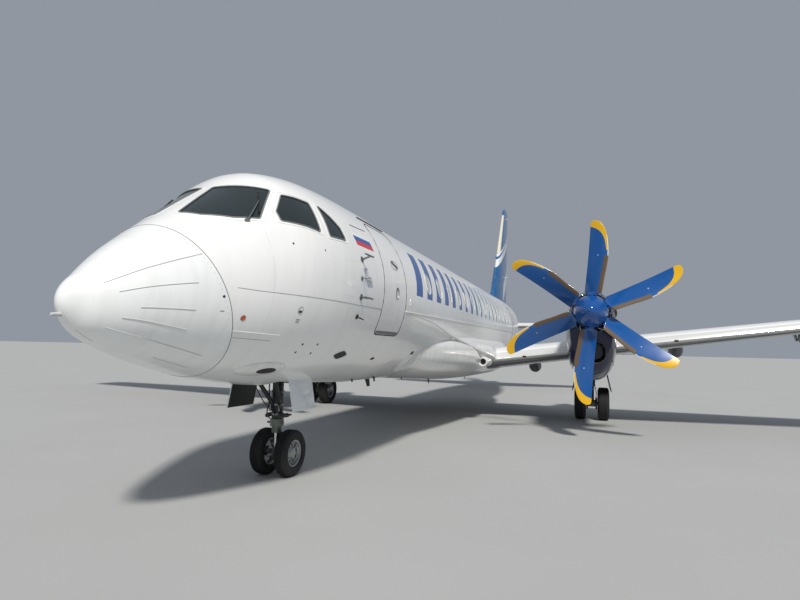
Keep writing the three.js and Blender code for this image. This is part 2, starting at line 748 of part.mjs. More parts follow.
// Propellers
// Columns: radius, trailing edge and leading edge off the blade's line as seen from ahead,
// pitch in degrees, thickness.
const BLADE = [
  [180, -58, 58, 40, 110],
  [350, -58, 58, 40, 110],
  [400, -150, 188, 40, 52],
  [700, -135, 228, 34, 40],
  [1200, -114, 282, 26, 30],
  [1520, -107, 255, 22, 24],
  [1760, -105, 190, 19, 18],
  [1880, -102, 118, 17, 12],
  [1930, -88, 55, 16.6, 8],
  [1950, -55, 10, 16.5, 6],
];
const BLADES = 6;
const BLADE_PHASE = 3.45; // the top blade leans towards the aircraft's left at rest
const SHAFT = 80;
const HUB = { radius: 215, front: 8640, back: 8990 };
const SHANK = 90; // hole in the spinner for a blade's root
const SPINNER = [
  [8230, 0],
  [8250, 62],
  [8320, 145],
  [8460, 245],
  [8640, 320],
  [8820, 350],
  [9060, 360],
  [9060, 0],
];

// A flat-bottomed blade section: across is along the chord, lift is normal to it.
function bladeRing(radius, trail, lead, pitch, thick) {
  const chord = (lead - trail) / Math.cos(rad(pitch));
  const centre = (lead + trail) / 2;
  const outline = [
    [-0.5, 0],
    [-0.1, 0.5],
    [0.3, 0.62],
    [0.5, 0.1],
    [0.3, -0.3],
    [-0.1, -0.3],
  ];
  return outline.map(([across, lift]) => {
    const along = across * chord;
    const over = lift * thick;
    const sideways = centre + along * Math.cos(rad(pitch)) - over * Math.sin(rad(pitch));
    const forward = along * Math.sin(rad(pitch)) + over * Math.cos(rad(pitch));
    return new THREE.Vector3(sideways, -forward, radius);
  });
}

function propeller() {
  const hub = bar(at(0, HUB.front, 0), at(0, HUB.back, 0), HUB.radius, 18);
  const shaft = bar(at(0, HUB.back - 5, 0), at(0, ENGINE.s0 + 260, 0), SHAFT, 32);
  const lathe = new THREE.LatheGeometry(
    SPINNER.map(([s, r]) => new THREE.Vector2(r, s - LENGTH / 2)),
    24,
  );
  let spinner = solid(lathe);
  if (spinner.volume() < 0) spinner = solid(flipped(lathe));
  spinner = spinner.subtract(
    bar(at(0, HUB.front - GAP, 0), at(0, 9100, 0), HUB.radius + GAP, 18),
  );
  const blade = loft(BLADE.map((row) => bladeRing(...row).map((p) => p.add(at(0, PROP_S, 0)))));
  const rootHole = bar(at(0, PROP_S, 150), at(0, PROP_S, 460), SHANK, 8);
  let blades = hub.add(shaft);
  for (let i = 0; i < BLADES; i++) {
    const turn = (body) => body.rotate([0, BLADE_PHASE + (360 / BLADES) * i, 0]);
    blades = blades.add(turn(blade));
    spinner = spinner.subtract(turn(rootHole));
  }
  return { blades, spinner };
}

function propellers() {
  const { blades, spinner } = propeller();
  for (const [side, x] of [["left", HALF_TRACK], ["right", -HALF_TRACK]]) {
    piece("propeller_" + side, "blue", blades.translate([x, 0, PROP_Z]));
    piece("spinner_" + side, "blue", spinner.translate([x, 0, PROP_Z]));
  }
}

// Wheels
const WHEEL_SIDES = 24;
// A tyre's profile as shares of half its width and of its tread's height over the rim.
const TYRE_SHAPE = [
  [-0.7, 0],
  [-0.97, 0.3],
  [-0.97, 0.65],
  [-0.75, 0.93],
  [-0.42, 1],
  [0.42, 1],
  [0.75, 0.93],
  [0.97, 0.65],
  [0.97, 0.3],
  [0.7, 0],
];
const NOSE_WHEEL = { radius: 320, rim: 178, width: 195, half: 190, axle: 42, strut: 62 };
const MAIN_WHEEL = { radius: 440, rim: 236, width: 305, half: 300, axle: 55, strut: 105 };

// Twin wheels on one axle that turns in its strut: two rims with a dished web, and two tyres.
function twinWheels(names, centre, size) {
  const { radius, rim, width, half } = size;
  const place = (offset) => centre.clone().add(new THREE.Vector3(offset, 0, 0));
  const wheel = (side) => {
    const outer = half + width * 0.36;
    const inner = half - width * 0.36;
    const profile = [
      [side * inner, 0],
      [side * inner, rim - GAP],
      [side * outer, rim - GAP],
      [side * (half + width * 0.12), rim - 34],
      [side * (half + width * 0.12), size.axle + 40],
      [side * (outer + 8), size.axle + 20],
      [side * (outer + 8), 0],
    ];
    return turned(profile, centre, WHEEL_SIDES);
  };
  const axle = bar(place(-half), place(half), size.axle, 14);
  piece(names.wheels, "wheel", joined(wheel(1), wheel(-1), axle));
  const shape = [...TYRE_SHAPE, TYRE_SHAPE[0]];
  const tread = radius / Math.cos(Math.PI / WHEEL_SIDES); // over the tread's corners
  for (const [name, offset] of [[names.tyres + "_left", half], [names.tyres + "_right", -half]]) {
    const profile = shape.map(([x, r]) => [(x * width) / 2, mix(rim, tread, r)]);
    piece(name, "tyre", turned(profile, place(offset), WHEEL_SIDES));
  }
}

// Landing gear

// The nose leg: a fixed barrel with its drag stay, and the turning lower strut with its collar,
// torque links and axle housing.
const NOSE_LEG = { s: 3500, radius: 78, collar: 96, foot: 800 };
const COLLAR = { top: 790, bottom: 690 };

function noseGear() {
  const legTop = at(0, NOSE_LEG.s, BAY.top - GAP);
  const foot = at(0, NOSE_LEG.s, NOSE_LEG.foot);
  let leg = bar(foot, legTop, NOSE_LEG.radius, 16);
  for (const side of [-1, 1]) {
    const low = at(side * 50, NOSE_LEG.s - 30, 980);
    const high = at(side * 240, BAY.front + 60, 1700);
    leg = leg.add(bar(low, high, 32, 8));
    leg = leg.add(bar(high, at(side * 240, BAY.front + 60, BAY.top - GAP), 34, 8));
  }
  leg = leg.add(bar(at(-150, NOSE_LEG.s, 1680), at(150, NOSE_LEG.s, 1680), 60));
  piece("nose_leg", "leg", leg.subtract(bore(at(0, NOSE_LEG.s, 780), at(0, NOSE_LEG.s, 862), 45, 24)));

  const axle = at(0, NOSE_GEAR_S, NOSE_WHEEL.radius);
  const collar = bar(at(0, NOSE_LEG.s, COLLAR.bottom), at(0, NOSE_LEG.s, COLLAR.top), NOSE_LEG.collar, 18);
  const spigot = bar(at(0, NOSE_LEG.s, COLLAR.top - 5), at(0, NOSE_LEG.s, 860), 45, 24);
  const cylinder = bar(at(0, NOSE_LEG.s, 600), at(0, NOSE_LEG.s, 700), 70, 16);
  const piston = bar(at(0, NOSE_LEG.s, 330), at(0, NOSE_LEG.s, 620), 42);
  const housing = bar(at(-58, NOSE_GEAR_S, axle.z), at(58, NOSE_GEAR_S, axle.z), 72, 16);
  const heel = box(-42, 42, NOSE_LEG.s - 35, NOSE_GEAR_S, 270, 370);
  const link = joined(
    bar(at(0, NOSE_LEG.s + 60, 640), at(0, NOSE_LEG.s + 175, 530), 20, 6),
    bar(at(0, NOSE_LEG.s + 175, 530), at(0, NOSE_GEAR_S, 385), 20, 6),
  );
  const strut = joined(collar, spigot, cylinder, piston, housing, heel, link);
  const hole = bore(at(-80, NOSE_GEAR_S, axle.z), at(80, NOSE_GEAR_S, axle.z), NOSE_WHEEL.axle);
  piece("nose_strut", "leg", strut.subtract(hole));
  twinWheels({ wheels: "nose_wheels", tyres: "nose_tyre" }, axle, NOSE_WHEEL);
}

// The main leg: a one-piece strut with a forked drag stay and the axle housing.
function mainGear() {
  const x = HALF_TRACK;
  const s = MAIN_GEAR_S;
  const axleZ = MAIN_WHEEL.radius;
  const barrel = bar(at(x, s, 900), at(x, s, GEAR_BAY.top - GAP), 88, 16);
  const piston = bar(at(x, s, axleZ), at(x, s, 910), 62, 14);
  const housing = bar(at(x - 100, s, axleZ), at(x + 100, s, axleZ), 92, 16);
  const cross = bar(at(x - 240, s, 1440), at(x + 240, s, 1440), 60, 10);
  const links = joined(
    bar(at(x, s - 70, 960), at(x, s - 230, 760), 24, 6),
    bar(at(x, s - 230, 760), at(x, s - 60, 500), 24, 6),
  );
  let leg = joined(barrel, piston, housing, cross, links);
  for (const side of [-1, 1]) {
    leg = leg.add(bar(at(x + side * 40, s + 30, 1000), at(x + side * 200, s + 520, GEAR_BAY.top - 45), 30, 8));
  }
  leg = leg.add(box(x - 235, x + 235, s + 480, s + 560, GEAR_BAY.top - 45, GEAR_BAY.top - GAP));
  const hole = bore(at(x - 130, s, axleZ), at(x + 130, s, axleZ), MAIN_WHEEL.axle);
  pair("main_leg", "leg", leg.subtract(hole));
  for (const [side, sign] of [["left", 1], ["right", -1]]) {
    const names = { wheels: "main_wheels_" + side, tyres: "main_tyre_" + side };
    twinWheels(names, at(sign * x, s, axleZ), MAIN_WHEEL);
  }
}

// Gear doors: plates that hang from the edges of their bay.
function gearDoors(noseShape) {
  const plate = (x0, z0, x1, z1, s0, s1, thick) =>
    loft(
      [s0, s1].map((s) => [at(x0, s, z0), at(x0 + thick, s, z0), at(x1 + thick, s, z1), at(x1, s, z1)]),
    );
  const door = plate(BAY.halfWidth + 2, 1500, 505, 950, 3050, 3650, 18);
  pair("nose_gear_door", "white", main(door.subtract(noseShape)));
}

function mainGearDoors(nacelleShape) {
  const x = HALF_TRACK;
  const edge = GEAR_BAY.halfWidth + 4;
  for (const [name, side] of [["outer", 1], ["inner", -1]]) {
    const rings = [GEAR_BAY.front + 60, GEAR_BAY.rear - 120].map((s) => [
      at(x + side * edge, s, 1500),
      at(x + side * (edge + 20), s, 1500),
      at(x + side * (edge + 170), s, 800),
      at(x + side * (edge + 150), s, 800),
    ]);
    pair(name + "_gear_door", "white", main(loft(rings).subtract(nacelleShape)));
  }
}

// Assembly

const wingGrown = surfaceBody(WING, 1);
const fairingShape = loft(
  FAIRING.map(([s, halfWidth, top, bottom]) => oval(0, s, halfWidth, top, bottom, FAIRING_SIDES, 2.6)),
);
const nacelleGrown = loft(
  NACELLE.map(([s, halfWidth, top, bottom]) =>
    oval(HALF_TRACK, s, halfWidth + GAP, top + GAP, bottom - GAP, NACELLE_SIDES, 2.5),
  ),
);

fuselage();
flightDeck();
piece(
  "belly_fairing",
  "white",
  main(fairingShape.subtract(tube).subtract(wingGrown).subtract(mirrored(wingGrown))),
);
wings();
tail();
nacelles(wingGrown);
propellers();
noseGear();
mainGear();
gearDoors(hull([...NOSE_RINGS, ...DOOR_RINGS.slice(1)], -GAP));
mainGearDoors(nacelleGrown);

export default plane;
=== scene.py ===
# %% [markdown]
# # A twin turboprop airliner
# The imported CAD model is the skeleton: every piece below sits on it, in metres, in its frame.
# The nose points along -Y, +X is the aircraft's left and +Z is up. A station is the distance
# aft of the nose tip.

# %% Load the frame
from math import asin, atan2, cos, pi, radians, sin, sqrt

import bpy
import numpy as np
from mathutils import Matrix, Vector


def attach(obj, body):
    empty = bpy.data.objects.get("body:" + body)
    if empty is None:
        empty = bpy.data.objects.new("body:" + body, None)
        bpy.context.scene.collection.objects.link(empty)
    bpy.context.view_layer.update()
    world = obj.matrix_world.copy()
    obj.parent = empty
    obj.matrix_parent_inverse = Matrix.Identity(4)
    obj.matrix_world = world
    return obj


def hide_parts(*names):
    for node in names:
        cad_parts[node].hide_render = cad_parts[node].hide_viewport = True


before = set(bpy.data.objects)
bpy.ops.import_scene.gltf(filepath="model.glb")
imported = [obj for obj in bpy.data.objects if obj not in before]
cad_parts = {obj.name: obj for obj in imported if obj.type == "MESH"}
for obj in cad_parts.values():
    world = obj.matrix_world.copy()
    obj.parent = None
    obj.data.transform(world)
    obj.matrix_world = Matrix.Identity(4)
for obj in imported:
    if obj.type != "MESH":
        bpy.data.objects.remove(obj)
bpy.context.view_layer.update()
LENGTH = 26.88
SIDES = {"left": 1, "right": -1}


def aft(station):
    return station - LENGTH / 2


print(len(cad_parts), "CAD nodes")

# %% [markdown]
# The camera stands to the left of the nose at head height and looks a little up. Its place,
# turn and lens were solved from the wheels, the propeller disc and the horizon. The floor is a
# plain pale sheet that runs to the horizon.

# %% Camera
EYE = Vector((4.188, aft(-3.207), 1.810))
YAW, PITCH, ROLL = radians(19.568), radians(5.178), radians(1.297)
ahead = Vector((-sin(YAW) * cos(PITCH), cos(YAW) * cos(PITCH), sin(PITCH)))
right = Vector((cos(YAW), sin(YAW), 0))
up = right.cross(ahead)
across = right * cos(ROLL) + up * sin(ROLL)
upward = up * cos(ROLL) - right * sin(ROLL)
bpy.ops.object.camera_add(location=EYE)
camera = bpy.context.object
turn = Matrix((across, upward, -ahead)).transposed()
camera.rotation_euler = turn.to_euler()
camera.data.sensor_width = 36
camera.data.lens = 24.197
camera.data.clip_end = 2000
bpy.context.scene.camera = camera
bpy.context.scene.view_settings.view_transform = "Standard"

# %% [markdown]
# Materials are built from nodes. A colour is written as the sRGB hex that a paint chart gives,
# and turned to the linear values that the shader wants. One function adds a node, sets its
# inputs and links it, so that a material reads as a list of steps.


# %% Nodes and colours
def colour(code):
    parts = [int(code[i : i + 2], 16) / 255 for i in (1, 3, 5)]
    return (*(c / 12.92 if c <= 0.04045 else ((c + 0.055) / 1.055) ** 2.4 for c in parts), 1)


def put(tree, kind, inputs=None, **settings):
    """Adds a node. An input is given a value, or the socket that feeds it."""
    node = tree.nodes.new("ShaderNode" + kind)
    for key, value in settings.items():
        setattr(node, key, value)
    for key, value in (inputs or {}).items():
        if isinstance(value, bpy.types.NodeSocket):
            tree.links.new(value, node.inputs[key])
        else:
            node.inputs[key].default_value = value
    return node


def start(name, **shader):
    """A new material and its shader's plain values, an underscore standing for a space."""
    material = bpy.data.materials.new(name)
    material.use_nodes = True
    tree = material.node_tree
    surface = tree.nodes["Principled BSDF"]
    for key, value in shader.items():
        surface.inputs[key.replace("_", " ")].default_value = value
    return material, tree, surface


def maths(tree, operation, *values):
    return put(tree, "Math", dict(enumerate(values)), operation=operation).outputs[0]


def blend(tree, share, first, second):
    mixed = put(tree, "Mix", {0: share, 6: first, 7: second}, data_type="RGBA")
    return mixed.outputs[2]


def place(tree):
    """The x, y and z of a point in the aircraft's frame."""
    whole = put(tree, "TexCoord").outputs["Object"]
    split = put(tree, "SeparateXYZ", {0: whole})
    return whole, *split.outputs


def lines(tree, value, pitch, width):
    """1 on thin lines that repeat along a value, 0 between them."""
    near = maths(tree, "PINGPONG", value, pitch / 2)
    return maths(tree, "LESS_THAN", near, width / 2)


def band(tree, value, low, high):
    """1 where a value lies between two others."""
    above = maths(tree, "GREATER_THAN", value, low)
    return maths(tree, "MULTIPLY", above, maths(tree, "LESS_THAN", value, high))


def ramp(tree, value, low, high, first=0.0, last=1.0):
    """Runs from first to last while a value goes from low to high."""
    inputs = {"Value": value, "From Min": low, "From Max": high, "To Min": first, "To Max": last}
    return put(tree, "MapRange", inputs).outputs[0]


def relief(tree, surface, height, distance, strength=1.0):
    bump = put(tree, "Bump", {"Height": height, "Distance": distance, "Strength": strength})
    tree.links.new(bump.outputs[0], surface.inputs["Normal"])


# %% [markdown]
# White polyurethane gloss over riveted aluminium skins. The eye reads it by its long soft
# reflections, which the thin skin makes a little wavy between the frames, and by the fine
# joints of the sheets. The joints are 3 mm wide on the real skin and are drawn 5 mm wide here,
# so that they show.

# %% Fuselage paint
PAINT_WAVE = 0.7  # metres between the waves of a thin skin
JOINT_WIDTH = 0.005
GRIME = "#b9b8b2"


def gloss_paint(name, code, waviness=0.004, joints=None, roughness=0.2, dirt=0.12):
    """Sprayed gloss; joints is the distance in metres between the riveted ring joints."""
    material, tree, surface = start(name, Roughness=roughness, Coat_Weight=0.4, Coat_Roughness=0.08)
    whole, x, y, z = place(tree)
    wave = put(tree, "TexNoise", {"Vector": whole, "Scale": 1 / PAINT_WAVE, "Detail": 1.0})
    peel = put(tree, "TexNoise", {"Vector": whole, "Scale": 60.0, "Detail": 2.0})
    height = maths(tree, "MULTIPLY_ADD", peel.outputs[0], 0.03, wave.outputs[0])
    streak = put(tree, "Mapping", {"Vector": whole, "Scale": (1.0, 6.0, 1.2)})
    spots = put(tree, "TexNoise", {"Vector": streak.outputs[0], "Scale": 1.6, "Detail": 5.0})
    worn = ramp(tree, spots.outputs[0], 0.45, 0.8, 0.0, dirt)
    tone = blend(tree, worn, colour(code), colour(GRIME))
    if joints:
        seam = lines(tree, y, joints, JOINT_WIDTH)
        tone = blend(tree, maths(tree, "MULTIPLY", seam, 0.2), tone, colour("#77787a"))
        height = maths(tree, "MULTIPLY_ADD", seam, -0.12, height)
    tree.links.new(tone, surface.inputs["Base Color"])
    relief(tree, surface, height, waviness)
    return material, tree, surface, tone


SHEET = 2.35  # the length of a fuselage sheet
white_paint = gloss_paint("white gloss paint on aluminium", "#eeefee", joints=SHEET)[0]

# %% [markdown]
# The other finishes are short variations. A radome is glass fibre and gets a softer paint, the
# fairings have no riveted joints, and the blades, spinner, nacelles and fin are gloss blue.

# %% Other paints
radome_paint = gloss_paint(
    "white erosion paint on glass fibre", "#eef0f0", 0.0015, roughness=0.28, dirt=0.2
)[0]
fairing_paint = gloss_paint("white gloss paint on composite", "#e9eae9", 0.002, dirt=0.3)[0]
navy_paint = gloss_paint("navy gloss paint on nacelle panels", "#050f3c", 0.002, 0.93, dirt=0.02)[0]
spinner_paint = gloss_paint(
    "royal blue gloss on spun aluminium", "#004a92", 0.0005, roughness=0.16, dirt=0.02
)[0]
door_paint = gloss_paint("white gloss paint on a light alloy door", "#e4e8ec", 0.001, dirt=0.04)[0]

# %% [markdown]
# Wings and tail surfaces have panel joints along the spars and at the ribs, and a metal or
# taped leading edge. A point's place on them is worked out from its distance along the span:
# how far aft of the leading edge it lies, as a share of the chord there. The undersides get a
# dark grey of painted shade, which fades out round the leading edge.


# %% Wing and tail paints
WING = ((1.15, 11.02, 3.6, 1.5), (14.6, 11.9, 1.56, 3.262))
TAILPLANE = ((0.2, 22.58, 3.3, 3.01), (5.38, 24.08, 1.48, 3.15))
FIN = ((3.5, 20.4, 4.73, 0), (9.0, 24.08, 1.48, 0))
FRONT_SPAR, REAR_SPAR = (0.153, 0.1552), (0.515, 0.517)  # joints, as shares of the chord
RIB_PITCH, RIB_JOINT = 1.15, 0.006


def along_span(tree, span, root, tip, column):
    """A value that goes from the root's to the tip's with the distance along the span."""
    slope = (tip[column] - root[column]) / (tip[0] - root[0])
    return maths(tree, "MULTIPLY_ADD", span, slope, root[column] - slope * root[0])


def surface_paint(name, code, stations, upright=False, edge="#dfe0de", edge_share=0.04, metal=0.2):
    """stations are the root's and the tip's (span, leading edge, chord, middle height)."""
    root, tip = stations
    material, tree, surface, tone = gloss_paint(name, code, 0.0025, dirt=0.15)
    whole, x, y, z = place(tree)
    span = z if upright else maths(tree, "ABSOLUTE", x)
    lead = maths(tree, "ADD", along_span(tree, span, root, tip, 1), aft(0))
    behind, chord = maths(tree, "SUBTRACT", y, lead), along_span(tree, span, root, tip, 2)
    share = maths(tree, "DIVIDE", behind, chord)
    spars = maths(tree, "MAXIMUM", band(tree, share, *FRONT_SPAR), band(tree, share, *REAR_SPAR))
    ribs = lines(tree, span, RIB_PITCH, RIB_JOINT)
    ribs = maths(tree, "MULTIPLY", ribs, maths(tree, "GREATER_THAN", share, 0.154))
    joint = maths(tree, "MAXIMUM", spars, ribs)
    tone = blend(tree, maths(tree, "MULTIPLY", joint, 0.4), tone, colour("#6f7173"))
    if upright:
        limit = band(tree, z, 6.5, 8.72)
    else:
        # painted shade: below the section's middle height the paint turns dark grey over 75 mm, and the
        # bright edge stops where it starts
        deep = maths(tree, "SUBTRACT", z, along_span(tree, span, root, tip, 3))
        under = ramp(tree, deep, -0.075, 0.0, 1.0, 0.0)
        tone = blend(tree, under, tone, colour("#6d7073"))
        limit = maths(tree, "SUBTRACT", 1.0, under)
    bright = maths(tree, "MULTIPLY", maths(tree, "LESS_THAN", share, edge_share), limit)
    tone = blend(tree, bright, tone, colour(edge))
    tree.links.new(maths(tree, "MULTIPLY", bright, metal), surface.inputs["Metallic"])
    tree.links.new(tone, surface.inputs["Base Color"])
    return material, tree, surface, tone, share


wing_paint = surface_paint("white gloss with a bright leading edge", "#ecedec", WING)[0]
tailplane_paint = surface_paint("white gloss tailplane paint", "#ecedec", TAILPLANE)[0]

# %% [markdown]
# The fin and rudder are royal blue with a cream strip of erosion tape on the upper leading
# edge, three slanted white bands, and a pale bare trailing edge.


# %% Fin paint
def banded_fin():
    material, tree, surface, tone, share = surface_paint(
        "royal blue gloss on composite fin", "#085a94", FIN, True, "#ded9c6", 0.075, 0.0
    )
    whole, x, y, z = place(tree)
    slant = maths(tree, "MULTIPLY_ADD", y, -0.5, z)
    for low, high, front in ((1.5, 1.78, 0.0), (1.88, 1.99, 0.0), (-0.5, 0.25, 0.45)):
        behind = maths(tree, "GREATER_THAN", share, front)
        stripe = maths(tree, "MULTIPLY", band(tree, slant, low, high), behind)
        tone = blend(tree, stripe, tone, colour("#e6e9ea"))
    tone = blend(tree, maths(tree, "GREATER_THAN", share, 0.978), tone, colour("#d7d9d6"))
    tree.links.new(tone, surface.inputs["Base Color"])
    return material


fin_paint = banded_fin()

# %% [markdown]
# Bare finishes: laminated cockpit glass, grey sealant, brushed and cast metals, tyre rubber and
# the dark rubber of hoses. Each has its real roughness, broken up by a fine noise.


# %% Bare finishes
def plain(name, code, roughness, metal=0.0, grain=120.0, vary=0.12, bump=0.0006, **shader):
    """A finish whose tone and roughness vary a little over a grain of grain per metre."""
    material, tree, surface = start(name, Metallic=metal, **shader)
    whole = put(tree, "TexCoord").outputs["Object"]
    fine = put(tree, "TexNoise", {"Vector": whole, "Scale": grain, "Detail": 4.0})
    broad = put(tree, "TexNoise", {"Vector": whole, "Scale": grain / 25, "Detail": 3.0})
    base = colour(code)
    dark = tuple(c * (1 - 2.2 * vary) for c in base[:3]) + (1,)
    tree.links.new(blend(tree, broad.outputs[0], base, dark), surface.inputs["Base Color"])
    rough = ramp(tree, fine.outputs[0], 0.0, 1.0, roughness - vary / 2, roughness + vary / 2)
    tree.links.new(rough, surface.inputs["Roughness"])
    relief(tree, surface, fine.outputs[0], bump)
    return material


glass = plain(
    "laminated heated glass", "#5d6b70", 0.05, vary=0.02, bump=0.0, Transmission_Weight=0.8, IOR=1.5
)
cabin_glass = plain(
    "stretched acrylic over a drawn blind", "#cfd2d0", 0.12, vary=0.06, bump=0.0, Coat_Weight=0.8
)
sealant = plain("grey polysulphide sealant", "#7f8283", 0.6)
mesh_grey = plain("dark louvred inlet", "#2c2d2b", 0.7)
trim = plain("matt flight deck trim", "#3a3f41", 0.8, grain=300.0, bump=0.0002)
gear_paint = plain("grey-green enamel on forged steel", "#7b8279", 0.42, vary=0.2, Coat_Weight=0.15)
dark_paint = plain("dark enamel on drag stays", "#35393a", 0.5, vary=0.15)
chrome = plain("ground hard chrome", "#c9cbcc", 0.16, metal=1.0, vary=0.08, bump=0.0001)
alloy = plain("machined wheel forging", "#a9acad", 0.34, metal=0.9, grain=200.0)
steel = plain("dark titanium and steel", "#5b5c5d", 0.45, metal=0.85)
burnt = plain("heat-tinted exhaust steel", "#5a4a3e", 0.5, metal=0.8, vary=0.25)
rubber = plain("black hose rubber", "#1a1a1a", 0.7)
tyre_rubber = plain("weathered tyre rubber", "#242425", 0.85, grain=90.0, vary=0.1, bump=0.001)
grey_metal = plain("anodised probe metal", "#8e9294", 0.35, metal=0.7)
strip_white = plain("painted copper strip", "#d8dad9", 0.4)
bright_band = plain("polished aluminium", "#e3e4e3", 0.22, metal=0.55, vary=0.06, grain=40.0)
orange_paint = plain("orange marker enamel", "#d9591c", 0.4)
lamp_glass = plain("clear lamp cover", "#d9dde0", 0.06, vary=0.02, bump=0.0, Transmission_Weight=0.6)
TINTED = {"vary": 0.03, "bump": 0.0, "Transmission_Weight": 0.3}
red_lens = plain("red lamp lens", "#b3201a", 0.15, **TINTED)
green_lens = plain("green lamp lens", "#157a4a", 0.15, **TINTED)
pod_grey = plain("grey enamel on a glass fibre pod", "#6c6f70", 0.4, vary=0.15)
# the inner faces of the gear doors: dark primer, made darker still as painted shade
primer_and_painted_shade = plain("dark primer inside the gear doors", "#2b302f", 0.6, vary=0.15)

# %% [markdown]
# Shared steps for every piece: select it alone, enter edit mode, apply a modifier, cut one
# piece by another, and finish it with smooth shading, its material, its body and the CAD
# nodes that it stands for.


# %% Steps that every piece shares
def alone(piece):
    if bpy.context.object and bpy.context.object.mode != "OBJECT":
        bpy.ops.object.mode_set(mode="OBJECT")
    bpy.ops.object.select_all(action="DESELECT")
    piece.select_set(True)
    bpy.context.view_layer.objects.active = piece
    return piece


def editing(piece, select="SELECT"):
    alone(piece)
    bpy.ops.object.mode_set(mode="EDIT")
    bpy.ops.mesh.select_all(action=select)


def done():
    bpy.ops.object.mode_set(mode="OBJECT")


def push(offset):
    """Extrudes what is selected."""
    bpy.ops.mesh.extrude_region_move(TRANSFORM_OT_translate={"value": offset})


def twin(piece, name):
    copy = bpy.data.objects.new(name, piece.data.copy())
    bpy.context.scene.collection.objects.link(copy)
    return copy


def settle(piece):
    """Moves the object's place and turn into its mesh."""
    alone(piece)
    bpy.ops.object.transform_apply(location=True, rotation=True, scale=True)
    return piece


def modified(piece, kind, **settings):
    alone(piece)
    modifier = piece.modifiers.new(kind.lower(), kind)
    for key, value in settings.items():
        setattr(modifier, key, value)
    bpy.ops.object.modifier_apply(modifier=modifier.name)
    return piece


def cut(piece, tool, operation="DIFFERENCE", keep=False):
    """The solver's quick way can lose a solid; then its slower way is taken."""
    kept = piece.data.copy()
    modified(piece, "BOOLEAN", object=tool, operation=operation, solver="EXACT")
    if not piece.data.polygons:
        piece.data = kept
        modified(piece, "BOOLEAN", object=tool, operation=operation, solver="EXACT", use_self=True)
    if not keep:
        bpy.data.objects.remove(tool)
    return piece


def mirrored(piece, name):
    """A copy on the other side of the aircraft, its faces turned to point outwards."""
    copy = twin(piece, name)
    copy.data.transform(Matrix.Diagonal((-1, 1, 1, 1)))
    copy.data.flip_normals()
    return copy


def sided(piece, name, sign):
    """A copy on the left for a sign of 1, or the mirror image on the right for -1."""
    return twin(piece, name) if sign > 0 else mirrored(piece, name)


def removed(*pieces):
    for piece in pieces:
        bpy.data.objects.remove(piece)


def merged(pieces, name):
    alone(pieces[0])
    for piece in pieces[1:]:
        piece.select_set(True)
    if len(pieces) > 1:
        bpy.ops.object.join()
    pieces[0].name = name
    return pieces[0]


def outward(piece):
    editing(piece)
    bpy.ops.mesh.remove_doubles(threshold=0.00005)
    bpy.ops.mesh.normals_make_consistent(inside=False)
    done()
    return piece


def finish(piece, material, body="airframe", replaces=(), angle=32):
    alone(piece)
    bpy.ops.object.shade_smooth_by_angle(angle=radians(angle))
    if material:
        piece.data.materials.clear()
        piece.data.materials.append(material)
    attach(piece, body)
    if replaces:
        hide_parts(*replaces)
    return piece


def pair(piece, name, material, body="airframe", angle=40):
    """The left side's piece and its mirror image on the right."""
    opposite = mirrored(piece, name + "_right")
    piece.name = name + "_left"
    for each, side in ((piece, "left"), (opposite, "right")):
        finish(each, material, body if body == "airframe" else side + body, angle=angle)


# %% [markdown]
# The fuselage is drawn like a lofted hull: a circle at the nose tip is extruded from frame to
# frame, and each new ring is scaled to that frame's width and height. The rows give the half
# width, top and bottom at a station, and a smooth curve over the square root of the station
# fills the frames between them and keeps the nose tip round.

# %% Hull lines
TIP = 0.052  # the radome is a little blunter than the solid under it
FUSELAGE = [
    (TIP, 0, 2.16, 2.16), (0.08, 0.08, 2.262, 2.063), (0.13, 0.14, 2.33, 1.992),
    (0.25, 0.261, 2.43, 1.873), (0.6, 0.506, 2.748, 1.716), (1.1, 0.764, 3.118, 1.564),
    (1.7, 1.039, 3.553, 1.431),
    (2.3, 1.261, 3.957, 1.345), (2.9, 1.357, 4.06, 1.291), (3.6, 1.386, 4.092, 1.268),
    (4.4, 1.405, 4.095, 1.255), (5.4, 1.43, 4.073, 1.213), (17.3, 1.43, 4.073, 1.213),
    (18.6, 1.405, 4.07, 1.33), (20.2, 1.27, 4.05, 1.66), (21.8, 1.05, 4.01, 2.09),
    (23.4, 0.78, 3.945, 2.54), (24.9, 0.5, 3.85, 2.93), (26.2, 0.27, 3.74, 3.22),
    (26.88, 0.06, 3.56, 3.44),
]


def curve_through(rows, root=False):
    """A function from station to the row's values, smooth and without overshoot."""
    def bend(station):
        return sqrt(max(station - TIP, 0)) if root else station

    xs = [bend(row[0]) for row in rows]

    def slopes(ys):
        rise = [(ys[i + 1] - ys[i]) / (xs[i + 1] - xs[i]) for i in range(len(xs) - 1)]
        pairs = [(rise[max(i - 1, 0)], rise[min(i, len(rise) - 1)]) for i in range(len(xs))]
        return [2 * a * b / (a + b) if a * b > 0 else 0 for a, b in pairs]

    columns = [[row[c] for row in rows] for c in range(1, len(rows[0]))]
    tangents = [slopes(ys) for ys in columns]

    def at(station):
        x = bend(station)
        i = min(max(sum(1 for v in xs if v < x) - 1, 0), len(xs) - 2)
        width = xs[i + 1] - xs[i]
        t = (x - xs[i]) / width
        from_start, from_end = (1 + 2 * t) * (1 - t) ** 2, t * t * (3 - 2 * t)
        leave, arrive = t * (1 - t) ** 2 * width, t * t * (t - 1) * width
        return [
            from_start * ys[i] + leave * m[i] + from_end * ys[i + 1] + arrive * m[i + 1]
            for ys, m in zip(columns, tangents)
        ]

    return at


fuselage_at = curve_through(FUSELAGE, root=True)


def squarer(value, power):
    """A sine or cosine, bent so that the curve drawn with it has squarer shoulders."""
    return abs(value) ** (2 / power) * (1 if value > 0 else -1)


